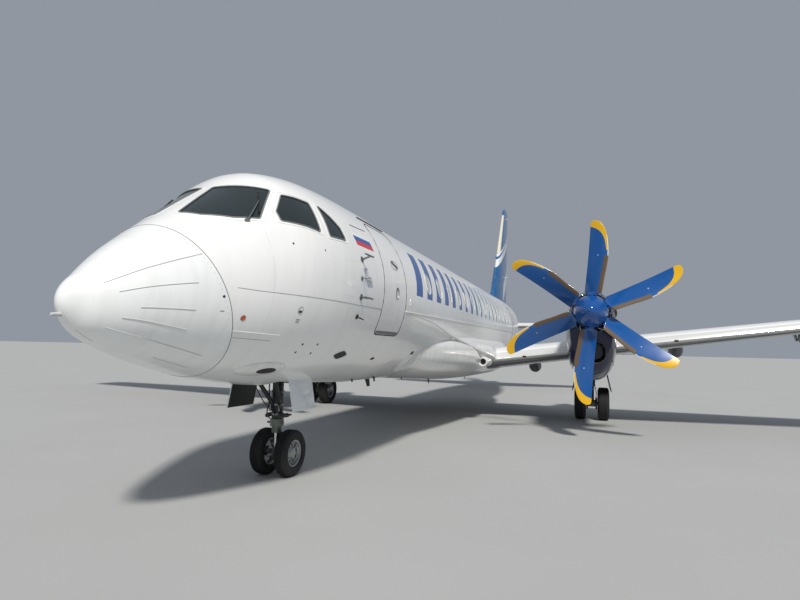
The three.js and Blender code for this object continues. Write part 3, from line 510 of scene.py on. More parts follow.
def drawn_hull(name, rings, sides=96, power=2.0, x=0.0, tip=None, tail=None):
    """Rings are (station, half width, top, bottom); a power over 2 squares the shoulders."""
    bpy.ops.object.select_all(action="DESELECT")
    bpy.ops.mesh.primitive_circle_add(vertices=sides, radius=1, rotation=(pi / 2, 0, 0))
    hull = settle(bpy.context.object)
    hull.name = name
    station, half, top, bottom = rings[0]
    for v in hull.data.vertices:
        for axis in (0, 2):
            v.co[axis] = squarer(v.co[axis], power)
        v.co = (x + v.co.x * half, aft(station), (top + bottom) / 2 + v.co.z * (top - bottom) / 2)
    editing(hull)
    if tip is None:
        bpy.ops.mesh.edge_face_add()
    else:
        push((0, tip - station, 0))
        bpy.ops.mesh.merge(type="CENTER")
        done()
        for v in hull.data.vertices:
            v.select = abs(v.co.y - aft(station)) < 1e-6
        for e in hull.data.edges:
            e.select = all(hull.data.vertices[i].select for i in e.vertices)
        bpy.ops.object.mode_set(mode="EDIT")
    for before, row in zip(rings, rings[1:]):
        middle = (row[2] + row[3]) / 2
        rise = middle - (before[2] + before[3]) / 2
        push((0, row[0] - before[0], rise))
        bpy.ops.transform.resize(
            value=(row[1] / before[1], 1, (row[2] - row[3]) / (before[2] - before[3])),
            center_override=(x, aft(row[0]), middle),
        )
    if tail is None:
        bpy.ops.mesh.edge_face_add()
    else:
        push((0, tail - rings[-1][0], 0))
        bpy.ops.mesh.merge(type="CENTER")
    done()
    return outward(hull)


def steps(low, high, count, power=1.0):
    low, high = low ** (1 / power), high ** (1 / power)
    return [(low + (high - low) * i / (count - 1)) ** power for i in range(count)]


def fuselage_rings(stations, inset=0.0):
    rows = [(s, *fuselage_at(s)) for s in stations]
    return [(s, w - inset, top - inset, bottom + inset) for s, w, top, bottom in rows]


FRAMES = [TIP + s for s in steps(0.002, 3.4, 48, 2.0)]
FRAMES += steps(3.6, 17.3, 34) + steps(17.6, 26.87, 34)
body_hull = drawn_hull("hull", fuselage_rings(FRAMES), sides=112, tip=TIP, tail=LENGTH)
print("hull", len(body_hull.data.polygons), "faces", [round(v, 3) for v in body_hull.dimensions])

# %% [markdown]
# The hull is sawn into the real sections: the radome, the nose with the flight deck, the cabin
# and the tail. A copy is bisected on each side of a joint, and the open end is filled.


# %% Sections
def sawn(piece, point, normal):
    """Keeps what lies behind the plane's normal, and fills the cut."""
    editing(piece)
    bpy.ops.mesh.bisect(plane_co=point, plane_no=normal, use_fill=True, clear_outer=True)
    done()
    return piece


SEAM = Vector((0, aft(1.26), 2.19))
LEAN = Vector((0, cos(np.arctan(0.43)), sin(np.arctan(0.43))))
NOSE_END, CABIN_END = 5.4, 17.3
JOINT = 0.0025  # sealant gap between two sections

radome = sawn(twin(body_hull, "radome_shell"), SEAM, LEAN)
nose = sawn(twin(body_hull, "nose_section"), SEAM + LEAN * JOINT * 2, -LEAN)
sawn(nose, (0, aft(NOSE_END) - JOINT, 0), (0, 1, 0))
cabin = sawn(twin(body_hull, "cabin_section"), (0, aft(CABIN_END), 0), (0, 1, 0))
sawn(cabin, (0, aft(NOSE_END), 0), (0, -1, 0))
tail_cone = sawn(twin(body_hull, "tail_section"), (0, aft(CABIN_END) + JOINT, 0), (0, -1, 0))
print([(p.name, len(p.data.polygons)) for p in (radome, nose, cabin, tail_cone)])

# %% [markdown]
# The flight deck is a hollow in the nose: an inner hull one skin thickness inside the outer
# one, sawn off at the bulkheads and the floor, is cut out of it. The bay of the nose gear is a
# box cut from below, with its edges eased.

# %% Hollows
SKIN = 0.08


def block(name, low, high, ease=0.0):
    """A box between two corners, its edges bevelled."""
    bpy.ops.object.select_all(action="DESELECT")
    low, high = Vector(low), Vector(high)
    bpy.ops.mesh.primitive_cube_add(size=1, location=(low + high) / 2, scale=high - low)
    box = settle(bpy.context.object)
    box.name = name
    if ease:
        editing(box)
        bpy.ops.mesh.bevel(offset=ease, segments=3, affect="EDGES")
        done()
    return box


def rod(name, low, high, radius, sides=48, end=None):
    """A round bar or cone between two points."""
    bpy.ops.object.select_all(action="DESELECT")
    low, high = Vector(low), Vector(high)
    along = high - low
    bpy.ops.mesh.primitive_cone_add(
        vertices=sides, radius1=radius, radius2=radius if end is None else end, depth=along.length,
        location=(low + high) / 2, rotation=along.to_track_quat("Z", "Y").to_euler(),
    )
    bar = settle(bpy.context.object)
    bar.name = name
    return bar


hollow = drawn_hull("hollow", fuselage_rings(steps(1.1, 3.7, 26), SKIN), sides=72)
sawn(hollow, (0, aft(1.33), 0), (0, -1, 0))
sawn(hollow, (0, aft(3.56), 0), (0, 1, 0))
sawn(hollow, (0, 0, 2.3), (0, 0, -1))
cut(nose, hollow)
BAY_HALF = 0.4
cut(nose, block("bay", (-BAY_HALF, aft(2.86), 1.0), (BAY_HALF, aft(3.8), 1.93), 0.03))
print("nose", len(nose.data.polygons), "faces")

# %% [markdown]
# A window's outline is given by the corners of its glass on the skin. The outline is rounded,
# slid onto the hull along the window's own normal, and carried through the wall the same way.
# What it cuts from the wall is the opening, and what it cuts from a shell just under the skin
# is the pane. A bead of sealant runs round the edge, and a fine raised joint shows the edge of
# the frame that clamps the pane.

# %% Windows
WINDOWS = {
    "windscreen": [
        (0.075, 1.795, 3.625), (0.673, 2.064, 3.619), (0.792, 1.718, 3.191),
        (0.62, 1.48, 3.16), (0.375, 1.273, 3.155), (0.14, 1.196, 3.172),
    ],
    "side_window": [
        (0.785, 2.116, 3.569), (0.965, 2.445, 3.545), (1.184, 2.389, 3.161),
        (0.935, 1.912, 3.205), (0.859, 1.922, 3.319),
    ],
    "rear_side_window": [
        (0.983, 2.581, 3.566), (1.197, 2.855, 3.318), (1.271, 2.902, 3.157), (1.225, 2.547, 3.146),
    ],
}
WINDOW_CORNER, LAND_CORNER = 0.036, 0.03
FRAME_LAND = 0.05  # the bolted frame round each pane ends in a fine joint


def on_skin(station, angle, lift=0.0):
    """The point of the fuselage's skin at a station and an angle above the widest line."""
    half, top, bottom = fuselage_at(station)
    middle, rise = (top + bottom) / 2, (top - bottom) / 2
    return Vector(((half + lift) * cos(angle), aft(station), middle + (rise + lift) * sin(angle)))


def angle_of(x, station, z):
    half, top, bottom = fuselage_at(station)
    return atan2((z - (top + bottom) / 2) / ((top - bottom) / 2), x / half)


def onto_skin(point, normal, lift=0.0):
    """Slides a point of a flat pane along the pane's normal to the skin, and lift beyond it."""
    low, high = -0.3, 0.3
    for _ in range(24):
        middle = (low + high) / 2
        p = point + normal * middle
        half, top, bottom = fuselage_at(p.y + LENGTH / 2)
        inside = (p.x / half) ** 2 + ((2 * p.z - top - bottom) / (top - bottom)) ** 2 < 1
        low, high = (middle, high) if inside else (low, middle)
    return point + normal * (low + lift)


def rounded(corners, radius, count=6):
    """The outline of a polygon with an arc of a radius at each corner."""
    outline = []
    for i, corner in enumerate(corners):
        before, after = corners[i - 1], corners[(i + 1) % len(corners)]
        a, b = (before - corner).normalized(), (after - corner).normalized()
        half = a.angle(b) / 2
        sides = (before - corner).length, (after - corner).length
        reach = min(radius / np.tan(half), *(0.45 * side for side in sides))
        first, last = corner + a * reach, corner + b * reach
        for k in range(count + 1):
            t = k / count
            outline.append(first * (1 - t) ** 2 + corner * 2 * t * (1 - t) + last * t * t)
        outline += [last.lerp(after - b * reach, k / 8) for k in range(1, 8)]
    return [p for i, p in enumerate(outline) if (p - outline[i - 1]).length > 0.002]


def facing(outline, centre=Vector()):
    """The unit normal of a ring of points, on the left side."""
    wedges = zip(outline, outline[1:] + outline[:1])
    normal = sum(((a - centre).cross(b - centre) for a, b in wedges), Vector()).normalized()
    return -normal if normal.x < 0 else normal


def solid(name, outline, offset):
    """A filled outline, extruded."""
    bpy.ops.object.select_all(action="DESELECT")
    bpy.ops.mesh.primitive_circle_add(vertices=len(outline), radius=1)
    piece = bpy.context.object
    piece.name = name
    for v, p in zip(piece.data.vertices, outline):
        v.co = p
    editing(piece)
    bpy.ops.mesh.edge_face_add()
    push(offset)
    done()
    return outward(piece)


def punch(name, outline, normal, out, depth):
    """A prism whose outline is a flat ring beyond the skin, extruded back through it."""
    centre = sum(outline, Vector()) / len(outline)
    flat = [p + normal * (out - (p - centre).dot(normal)) for p in outline]
    return solid(name, flat, -normal * (out + depth))


def bead(name, path, radius, closed=True, sides=3, swell=None):
    """A round bead along points, made as a bevelled curve and turned into a mesh. swell gives
    each point's own share of the radius."""
    line = bpy.data.curves.new(name, "CURVE")
    line.dimensions = "3D"
    line.bevel_depth = radius
    line.bevel_resolution = sides
    line.use_fill_caps = not closed
    spline = line.splines.new("POLY")
    spline.points.add(len(path) - 1)
    for point, p in zip(spline.points, path):
        point.co = (*p, 1)
    for point, share in zip(spline.points, swell or []):
        point.radius = share
    spline.use_cyclic_u = closed
    piece = bpy.data.objects.new(name, line)
    bpy.context.scene.collection.objects.link(piece)
    alone(piece)
    bpy.ops.object.convert(target="MESH")
    return bpy.context.object


inner_glass = drawn_hull("under_glass", fuselage_rings(steps(1.0, 3.3, 40), 0.034), sides=112)
outer_glass = drawn_hull("over_glass", fuselage_rings(steps(0.95, 3.4, 42), 0.008), sides=112)
cut(outer_glass, inner_glass)
for name, rows in WINDOWS.items():
    corners = [Vector((x, aft(s), z)) for x, s, z in rows]
    normal = facing(corners)
    edge = [onto_skin(p, normal) for p in rounded(corners, WINDOW_CORNER)]
    pane = cut(twin(outer_glass, name), punch("pane_" + name, edge, normal, 0.2, 0.25), "INTERSECT")
    opening = punch("opening_" + name, edge, normal, 0.15, 0.17)
    cut(nose, mirrored(opening, "opening_right"))
    cut(nose, opening)
    for side, sign in SIDES.items():
        glazing = sided(pane, f"glass_{name}_{side}", sign)
        finish(glazing, glass, replaces=[f"{name}_{side}"])
    removed(pane)
    pair(bead("seal", edge, 0.0085), "sealant_" + name, sealant, angle=60)
    middle = sum(corners, Vector()) / len(corners)
    grown = [p + (p - middle).normalized() * FRAME_LAND for p in corners]
    land = [onto_skin(p, normal, 0.0005) for p in rounded(grown, LAND_CORNER)]
    pair(bead("line", land, 0.003), "frame_line_" + name, fairing_paint, angle=60)
removed(outer_glass)
print("nose with windows", len(nose.data.polygons))

# %% [markdown]
# Doors, ports and panels are drawn on the side view and laid on the skin from there. A plate is
# a filled outline with a little thickness, and a pair is the left side's piece with its mirror
# image on the right.


# %% Things that lie on the skin
def flank(station, height, lift=0.0):
    """The point of the left side's skin at a station and a height."""
    half, top, bottom = fuselage_at(station)
    share = (height - (top + bottom) / 2) / ((top - bottom) / 2)
    return on_skin(station, asin(max(-1.0, min(1.0, share))), lift)


def laid(outline, lift=0.0):
    return [flank(p.y + LENGTH / 2, p.z, lift) for p in outline]


def oval(station, height, length, tall, count=28, power=2.0):
    outline = []
    for i in range(count):
        turn = 2 * pi * i / count
        a, b = (squarer(v, power) / 2 for v in (cos(turn), sin(turn)))
        outline.append(Vector((1.0, aft(station) + a * length, height + b * tall)))
    return outline


def plate(name, outline, lift=0.002, depth=0.008):
    """A thin plate inside an outline of the side view, its rim lifted off the skin."""
    rim = laid(outline, lift)
    return solid(name, rim, -facing(rim, sum(rim, Vector()) / len(rim)) * depth)


# %% [markdown]
# A door is a plug as curved as the skin. Its outline is a rounded rectangle in side view,
# punched through the wall: what the punch takes from the outer 60 mm of the hull is the door,
# and a slightly larger punch makes the pocket. A round rubber seal fills the gap between them.
# The passenger door has a small port in it.

# %% Doors
DOORS = {
    "passenger_door": (3.985, 4.88, 2.016, 3.65, nose),
    "rear_door": (17.35, 18.05, 2.03, 3.48, tail_cone),
}
DOOR_CORNER, DOOR_DEPTH, DOOR_GAP = 0.12, 0.06, 0.016
OUT = Vector((1, 0, 0))


def side_outline(s0, s1, z0, z1, corner, grow=0.0):
    """A rounded rectangle of the side view."""
    front, back, low, high = s0 - grow, s1 + grow, z0 - grow, z1 + grow
    corners = ((front, low), (back, low), (back, high), (front, high))
    return rounded([Vector((1.0, aft(s), z)) for s, z in corners], corner)


port = oval(4.5, 2.65, 0.12, 0.17, power=2.4)
for name, (*edges, wall) in DOORS.items():
    front, back = edges[:2]
    near = [front - 0.3 + 0.1 * i for i in range(int((back - front + 0.7) / 0.1))]
    core = drawn_hull("core", fuselage_rings(near, DOOR_DEPTH), sides=112)
    pocket = punch("pocket", side_outline(*edges, DOOR_CORNER, DOOR_GAP), OUT, 0.7, 0.6)
    plug = punch("plug", side_outline(*edges, DOOR_CORNER), OUT, 0.7, 0.6)
    cut(pocket, core, keep=True)
    door = cut(twin(body_hull, name + "_panel"), plug, "INTERSECT")
    cut(door, core)
    cut(wall, pocket)
    if name == "passenger_door":
        cut(door, punch("port", laid(port), OUT, 0.2, 0.02))
    finish(door, white_paint, replaces=[name])
    gap = laid(side_outline(*edges, DOOR_CORNER, DOOR_GAP / 2), -0.005)
    finish(bead(name + "_seal", gap, 0.0095), rubber, angle=60)
    print(name, len(door.data.polygons), "faces")
removed(body_hull)

# %% [markdown]
# Over the passenger door there is a rain gutter, and on it a steel scuff plate along the sill,
# a lever in a shallow oval cup and the glass and rim of its port. The rear door has a window.

# %% Door fittings
over_door = [flank(3.93 + 0.1 * i, 3.725, 0.004) for i in range(11)]
gutter = bead("door_gutter", over_door, 0.011, closed=False)
finish(gutter, dark_paint, angle=60)
scuff = plate("door_scuff_plate", side_outline(4.03, 4.835, 2.022, 2.066, 0.015), 0.004)
finish(scuff, grey_metal)
port_pane = plate("door_port_glass", oval(4.5, 2.65, 0.116, 0.166, power=2.4), -0.01)
finish(port_pane, cabin_glass)
finish(bead("door_port_rim", laid(port), 0.006), grey_metal)
cup = laid(oval(4.475, 3.08, 0.26, 0.13, power=3))
finish(bead("door_handle_cup", cup, 0.0035), sealant)
lever = merged(
    [
        rod("lever", flank(4.38, 3.12, 0.006), flank(4.57, 3.05, 0.012), 0.011, 12),
        rod("pivot", flank(4.38, 3.12, -0.01), flank(4.38, 3.12, 0.02), 0.02, 16),
    ],
    "door_lever",
)
finish(outward(lever), grey_metal)
seal = bead("rear_window", laid(oval(17.7, 3.0, 0.26, 0.38, power=2.4)), 0.006)
finish(seal, sealant, angle=60)
rear_pane = plate("rear_door_glass", oval(17.7, 3.0, 0.25, 0.37, power=2.4), 0.0015)
finish(rear_pane, cabin_glass)

# %% [markdown]
# The cabin windows are ovals with the blinds drawn. One pocket is punched at the first
# station and copied along the row on both sides, and all of them are cut in one step. Each
# holds a pane that is curved as the skin is, 6 mm below it, inside a ring of sealant.

# %% Cabin windows
WINDOW_ROW = [6.2 + 0.8 * i for i in range(14)]
WINDOW_Z, WINDOW_LENGTH, WINDOW_TALL = 3.0, 0.27, 0.385
first = laid(oval(WINDOW_ROW[0], WINDOW_Z, WINDOW_LENGTH, WINDOW_TALL, power=2.3))
lean = (flank(WINDOW_ROW[0], WINDOW_Z, 1.0) - flank(WINDOW_ROW[0], WINDOW_Z)).normalized()
shell = drawn_hull("shell", fuselage_rings([5.9, 6.2, 6.5], 0.006), sides=112)
cut(shell, drawn_hull("core", fuselage_rings([5.8, 6.2, 6.6], 0.022), sides=112))
pane = cut(shell, punch("pane", first, lean, 0.1, 0.1), "INTERSECT")
hole = punch("hole", first, lean, 0.1, 0.014)
ring = bead("ring", first, 0.005)


def along_row(piece, name, sign):
    copies = []
    for station in WINDOW_ROW:
        copy = sided(piece, name, sign)
        copy.data.transform(Matrix.Translation((0, station - WINDOW_ROW[0], 0)))
        copies.append(copy)
    return merged(copies, name)


for side, sign in SIDES.items():
    cut(cabin, along_row(hole, "holes", sign))
    finish(along_row(pane, "cabin_windows_" + side, sign), cabin_glass)
    seals = along_row(ring, "cabin_window_seals_" + side, sign)
    finish(seals, fairing_paint, angle=60)
removed(pane, hole, ring)
print("cabin", len(cabin.data.polygons), "faces")

# %% [markdown]
# The livery is sprayed: upright bars on both sides of the cabin that get narrower towards the
# tail and fade from royal blue through teal to grey, and a panel of three level stripes behind
# the flight deck. All of it is masks on the object's coordinates over the white paint.


# %% Livery
PANEL = ((3.268, 3.345, "#f4f4f2"), (3.235, 3.300, "#17519f"), (3.17, 3.235, "#d3202b"))
PANEL_LEAN, PANEL_HEIGHT = 0.33, 3.25


def livery_paint():
    material, tree, surface, tone = gloss_paint(
        "white gloss paint with sprayed bars", "#eeefee", joints=SHEET
    )
    whole, x, y, z = place(tree)
    slant = maths(tree, "MULTIPLY_ADD", z, -0.3, y)
    width = ramp(tree, y, aft(5.4), aft(15.4), 0.18, 0.03)
    bars = maths(tree, "LESS_THAN", maths(tree, "PINGPONG", slant, 0.31), width)
    tall = band(tree, z, 2.71, 3.5)
    run = band(tree, slant, aft(4.56), aft(14.7))
    mask = maths(tree, "MULTIPLY", maths(tree, "MULTIPLY", bars, tall), run)
    teal = ramp(tree, y, aft(10.2), aft(11.6))
    grey = ramp(tree, y, aft(12.6), aft(13.8))
    hue = blend(tree, teal, colour("#12509e"), colour("#4f93a5"))
    hue = blend(tree, grey, hue, colour("#59656c"))
    tone = blend(tree, mask, tone, hue)
    leaning = maths(tree, "MULTIPLY_ADD", z, PANEL_LEAN, y)
    offset = PANEL_LEAN * PANEL_HEIGHT
    panel = band(tree, leaning, aft(3.2) + offset, aft(3.74) + offset)
    for low, high, code in PANEL:
        stripe = maths(tree, "MULTIPLY", panel, band(tree, z, low, high))
        tone = blend(tree, stripe, tone, colour(code))
    tree.links.new(tone, surface.inputs["Base Color"])
    return material


striped_paint = livery_paint()
finish(radome, radome_paint, replaces=["radome"])
finish(nose, striped_paint, replaces=["fuselage_nose"])
finish(cabin, striped_paint, replaces=["fuselage_centre"])
finish(tail_cone, white_paint, replaces=["fuselage_rear"])

# %% [markdown]
# The radome is a shell of glass fibre over the radar. A grey bead of sealant closes its seam,
# a row of countersunk screws holds it, and six metal strips on each side lead lightning away
# from the nose. The strips are 9 mm wide, laid on the skin between two points each. The nub at
# the tip is a turned part: a profile in one half plane, spun round its axis.

# %% Radome fittings
def seam_station(angle, ahead=0.0):
    """The station where the radome's seam crosses the skin at an angle."""
    low, high = 0.4, 2.6
    for _ in range(30):
        middle = (low + high) / 2
        beyond = (on_skin(middle, angle) - SEAM).dot(LEAN) > -ahead
        low, high = (low, middle) if beyond else (middle, high)
    return middle


turns = [2 * pi * i / 120 for i in range(120)]
seam = [on_skin(seam_station(angle), angle, -0.001) for angle in turns]
finish(bead("radome_seal", seam, 0.0036), sealant, angle=60)

SCREWS = 84
screw = rod("screw", (0, 0, -0.004), (0, 0, 0.0012), 0.0055, 8)
heads = []
for i in range(SCREWS):
    angle = 2 * pi * i / SCREWS
    station = seam_station(angle, 0.035)
    foot = on_skin(station, angle)
    out = (on_skin(station, angle, 1.0) - foot).normalized()
    head = twin(screw, "head")
    head.data.transform(Matrix.Translation(foot) @ out.to_track_quat("Z", "Y").to_matrix().to_4x4())
    heads.append(head)
removed(screw)
finish(merged(heads, "radome_screws"), strip_white, angle=60)

STRIPS = [
    ((0.233, 0.273, 2.317), (0.631, 1.021, 2.688)), ((0.332, 0.354, 2.248), (0.678, 0.938, 2.394)),
    ((0.435, 0.499, 2.124), (0.662, 0.936, 2.135)), ((0.341, 0.396, 2.028), (0.579, 0.923, 1.945)),
    ((0.237, 0.328, 1.938), (0.53, 1.25, 1.655)), ((0.248, 0.881, 1.674), (0.305, 1.3, 1.553)),
]


def skin_track(first, last, count, lift):
    """Points of the skin on the way from one (x, station, z) to another."""
    s0, s1 = first[1], last[1]
    a0, a1 = angle_of(*first), angle_of(*last)
    return [
        on_skin(s0 + (s1 - s0) * i / count, a0 + (a1 - a0) * i / count, lift)
        for i in range(count + 1)
    ]


def turned(name, profile, centre, axis, sides=64):
    """Spins (distance along the axis, radius) points round an axis through a centre."""
    centre, axis = Vector(centre), Vector(axis)
    aside = axis.orthogonal().normalized()
    line = bead(name, [centre + axis * a + aside * r for a, r in profile], 0.0, closed=False)
    line.name = name
    editing(line)
    bpy.ops.mesh.spin(steps=sides, angle=2 * pi, center=centre, axis=axis)
    done()
    return outward(line)


strips = [bead("strip", skin_track(a, b, 14, 0.001), 0.0046, closed=False, sides=2) for a, b in STRIPS]
pair(merged(strips, "strips"), "lightning_strips", strip_white, angle=60)
NUB = [
    (-0.03, 0), (-0.03, 0.02), (0.06, 0.018), (0.075, 0.015), (0.1, 0.014), (0.106, 0.01), (0.106, 0),
]
nub = turned("nose_tip_nub", NUB, (-0.02, aft(0.12), 2.036), (0, -1, -0.05), 32)
finish(nub, strip_white)
chin = [on_skin(0.1 + 0.02 * i, radians(-80), 0.0005) for i in range(14)]
finish(bead("chin_bond", chin, 0.003, closed=False), strip_white, angle=60)

# %% [markdown]
# Small fittings of the nose: raised joints and bead lines, drains, static ports and the cooling
# louvre. Each is a plate or a bead that follows the skin.

# %% Joints and ports
def skin_line(points, lift=0.0005, count=16):
    """Points of the left side's skin along the lines between (station, height) points."""
    path = []
    for (s0, z0), (s1, z1) in zip(points, points[1:]):
        for i in range(count + 1):
            path.append(flank(s0 + (s1 - s0) * i / count, z0 + (z1 - z0) * i / count, lift))
    return path


LINES = {
    "crease_joint": ([(1.3, 2.384), (1.53, 2.375), (3.187, 2.366), (3.96, 2.37)], 0.0022, sealant),
    "chine_joint": ([(1.362, 1.951), (1.95, 1.927)], 0.004, fairing_paint),
    "lower_chine_joint": ([(1.401, 1.886), (1.87, 1.862)], 0.002, sealant),
    "cabin_moulding": ([(4.91, 2.4), (9.0, 2.45), (17.28, 2.536)], 0.011, fairing_paint),
    "rear_joint": ([(17.2, 2.2), (17.2, 3.6)], 0.006, sealant),
    "cockpit_trim_strip": ([(3.24, 3.45), (3.74, 3.466)], 0.006, grey_metal),
}
for name, (points, radius, material) in LINES.items():
    raised = bead(name, skin_line(points), radius, closed=False, sides=2)
    pair(raised, name, material, angle=60)

PORTS = {
    "marker_disc": (1.416, 2.086, 0.05, 0.05, orange_paint),
    "drain_cap": (2.082, 2.212, 0.062, 0.075, fairing_paint),
    "drain_plug": (2.082, 2.198, 0.046, 0.03, mesh_grey),
    "upper_dot": (1.949, 2.949, 0.022, 0.022, mesh_grey),
    "roof_dot": (2.391, 2.946, 0.018, 0.018, mesh_grey),
    "side_dot": (1.173, 2.283, 0.026, 0.026, mesh_grey),
    "side_patch": (1.183, 2.14, 0.045, 0.008, sealant),
    "drain_dash": (2.09, 2.108, 0.06, 0.012, sealant),
    "drain_dash_two": (2.09, 2.083, 0.05, 0.01, sealant),
    "low_dot_one": (2.382, 1.835, 0.024, 0.024, mesh_grey),
    "low_dot_two": (2.651, 1.84, 0.024, 0.024, mesh_grey),
    "low_dot_three": (2.368, 1.741, 0.024, 0.024, mesh_grey),
    "low_dot_four": (2.652, 1.73, 0.024, 0.024, mesh_grey),
    "belly_vent": (4.583, 1.649, 0.12, 0.04, mesh_grey),
    "slot_vent": (5.088, 2.565, 0.035, 0.1, mesh_grey),
    "cooling_louvre": (3.4, 1.71, 0.37, 0.12, mesh_grey),
    "rear_scoop": (6.181, 1.738, 0.14, 0.06, mesh_grey),
}
for name, (station, height, length, tall, material) in PORTS.items():
    outline = oval(station, height, length, tall, 24, 1.35 if length > 0.3 else 2.0)
    pair(plate(name, outline, 0.0025), name, material)
    if tall > 0.03:
        radius, around = (0.004, sealant) if tall < 0.08 else (0.007, fairing_paint)
        pair(bead("rim", laid(outline), radius), name + "_rim", around)

BAND = ((3.25, 2.86), (3.38, 2.88), (3.57, 2.64), (3.4, 2.62))
outline = rounded([Vector((1.0, aft(s), z)) for s, z in BAND], 0.02)
pair(plate("static_band", outline, 0.0015), "static_band", bright_band)

# %% [markdown]
# A pressure probe is a tube that points ahead on a bent strut. Between the probes sit a thin
# thermometer and the vane that feels the angle of the air. A wiper is a jointed arm on a cap,
# and a rubber blade that follows the glass.



# %% Probes and wipers
def standing(name, station, height, low, high, radius, sides):
    """A round bar that stands square to the skin."""
    return rod(name, flank(station, height, low), flank(station, height, high), radius, sides)


PROBE_REACH, PROBE_LENGTH, PROBE_RADIUS = 0.15, 0.2, 0.012
for name, station, height in (("upper_pitot", 3.256, 2.975), ("lower_pitot", 3.228, 2.471)):
    elbow = flank(station, height, PROBE_REACH) + Vector((0, -0.05, 0))
    taper = elbow - Vector((0, PROBE_LENGTH * 0.7, 0))
    tip = elbow - Vector((0, PROBE_LENGTH, 0))
    parts = [
        standing("foot", station, height, -0.01, 0.006, 0.042, 24),
        rod("strut", flank(station, height), elbow, PROBE_RADIUS * 1.25, 16, PROBE_RADIUS),
        rod("tube", elbow + Vector((0, 0.09, 0)), taper, PROBE_RADIUS, 16),
        rod("tip", taper, tip, PROBE_RADIUS, 16, PROBE_RADIUS * 0.55),
    ]
    pair(merged(parts, name), name, grey_metal)

parts = [
    standing("foot", 3.21, 2.715, -0.01, 0.006, 0.03, 20),
    standing("stem", 3.21, 2.715, 0, 0.13, 0.006, 10),
]
pair(merged(parts, "thermometer"), "thermometer", grey_metal)
parts = [
    standing("foot", 3.248, 2.215, -0.01, 0.008, 0.034, 24),
    standing("hub", 3.248, 2.215, 0, 0.05, 0.008, 12),
    rod("blade", flank(3.24, 2.215, 0.05), flank(3.36, 2.2, 0.06), 0.012, 4, 0.006),
]
pair(merged(parts, "vane"), "angle_vane", mesh_grey)


def glass_point(x, station, z, lift):
    return on_skin(station, angle_of(x, station, z), lift)


FOOT, KNEE, END = (0.723, 1.575, 3.142), (0.7, 1.72, 3.3), (0.671, 1.831, 3.417)
parts = [
    rod("cap", glass_point(*FOOT, -0.01), glass_point(*FOOT, 0.035), 0.024, 20, 0.018),
    rod("arm", glass_point(*FOOT, 0.03), glass_point(*KNEE, 0.035), 0.0085, 10, 0.007),
    rod("arm", glass_point(*KNEE, 0.035), glass_point(*END, 0.028), 0.007, 10, 0.005),
]
pair(merged(parts, "wiper_arm"), "wiper_arm", grey_metal)
sweep = []
for i in range(11):
    t = i / 10
    sweep.append(glass_point(0.753 - 0.15 * t, 1.741 + 0.18 * t, 3.26 + 0.29 * t, 0.012))
wiper = bead("wiper_blade", sweep, 0.009, closed=False, sides=2)
pair(wiper, "wiper_blade", rubber, angle=60)

# %% [markdown]
# The fairing round the wing root and the nacelles are hulls of the same kind with squarer
# shoulders. The nacelle is opened for the engine, the chin intake, the exhaust and the gear.

# %% Fairing and nacelle
FAIRING = [
    (6.4, 1.15, 2.2, 1.33), (7.6, 1.33, 2.3, 1.19), (8.9, 1.48, 2.33, 1.11), (10.3, 1.6, 2.33, 1.05),
    (12, 1.64, 2.3, 1.03), (14.3, 1.64, 2.3, 1.03), (15.4, 1.54, 2.3, 1.08), (16.4, 1.33, 2.25, 1.2),
    (17.2, 1.05, 2.1, 1.33),
]
NACELLE = [
    (9.12, 0.44, 3.09, 1.64), (9.35, 0.505, 3.15, 1.37), (9.9, 0.545, 3.21, 1.21),
    (11, 0.57, 3.21, 1.15),
    (12.2, 0.57, 3.06, 1.15), (13.3, 0.54, 2.86, 1.25), (14.3, 0.4, 2.6, 1.56),
    (14.9, 0.22, 2.44, 1.9),
    (15.15, 0.06, 2.3, 2.16),
]
FAIRING_POWER, NACELLE_POWER, INTAKE_POWER = 2.6, 2.5, 2.6
INTAKE = [(9.0, 0.3, 2.08, 1.6), (9.5, 0.3, 2.08, 1.56), (9.9, 0.24, 2.04, 1.66)]
ENGINE_X = 4.2


def rings_through(rows, count):
    at = curve_through(rows)
    return [(s, *at(s)) for s in steps(rows[0][0], rows[-1][0], count)]


fairing = drawn_hull("wing_root_fairing", rings_through(FAIRING, 48), 96, FAIRING_POWER)
finish(fairing, fairing_paint, replaces=["belly_fairing"])


def by_engine(x, station, z):
    """A point by its distance outboard of the left engine's axis."""
    return Vector((ENGINE_X + x, aft(station), z))


nacelle = drawn_hull("nacelle", rings_through(NACELLE, 56), 96, NACELLE_POWER, ENGINE_X)
cut(nacelle, rod("engine_hole", by_engine(0, 9.0, 2.62), by_engine(0, 11.5, 2.62), 0.3704, 64))
cut(nacelle, drawn_hull("intake", INTAKE, 48, INTAKE_POWER, ENGINE_X))
cut(nacelle, block("gear_bay", by_engine(-0.33, 12.15, 0.9), by_engine(0.33, 13.3, 1.56), 0.02))
pipe_hole = rod("pipe_hole", by_engine(0.35, 11.55, 2.84), by_engine(0.8, 11.95, 2.86), 0.1505)
cut(nacelle, pipe_hole)
for side, sign in SIDES.items():
    cowl = sided(nacelle, "cowl_" + side, sign)
    finish(cowl, navy_paint, replaces=["nacelle_" + side])
removed(nacelle)

# %% [markdown]
# The spinner is a thin spun dome with six round holes for the blade roots, a painted collar
# round each root and a steel hub behind. The profile's points are a station and a radius.


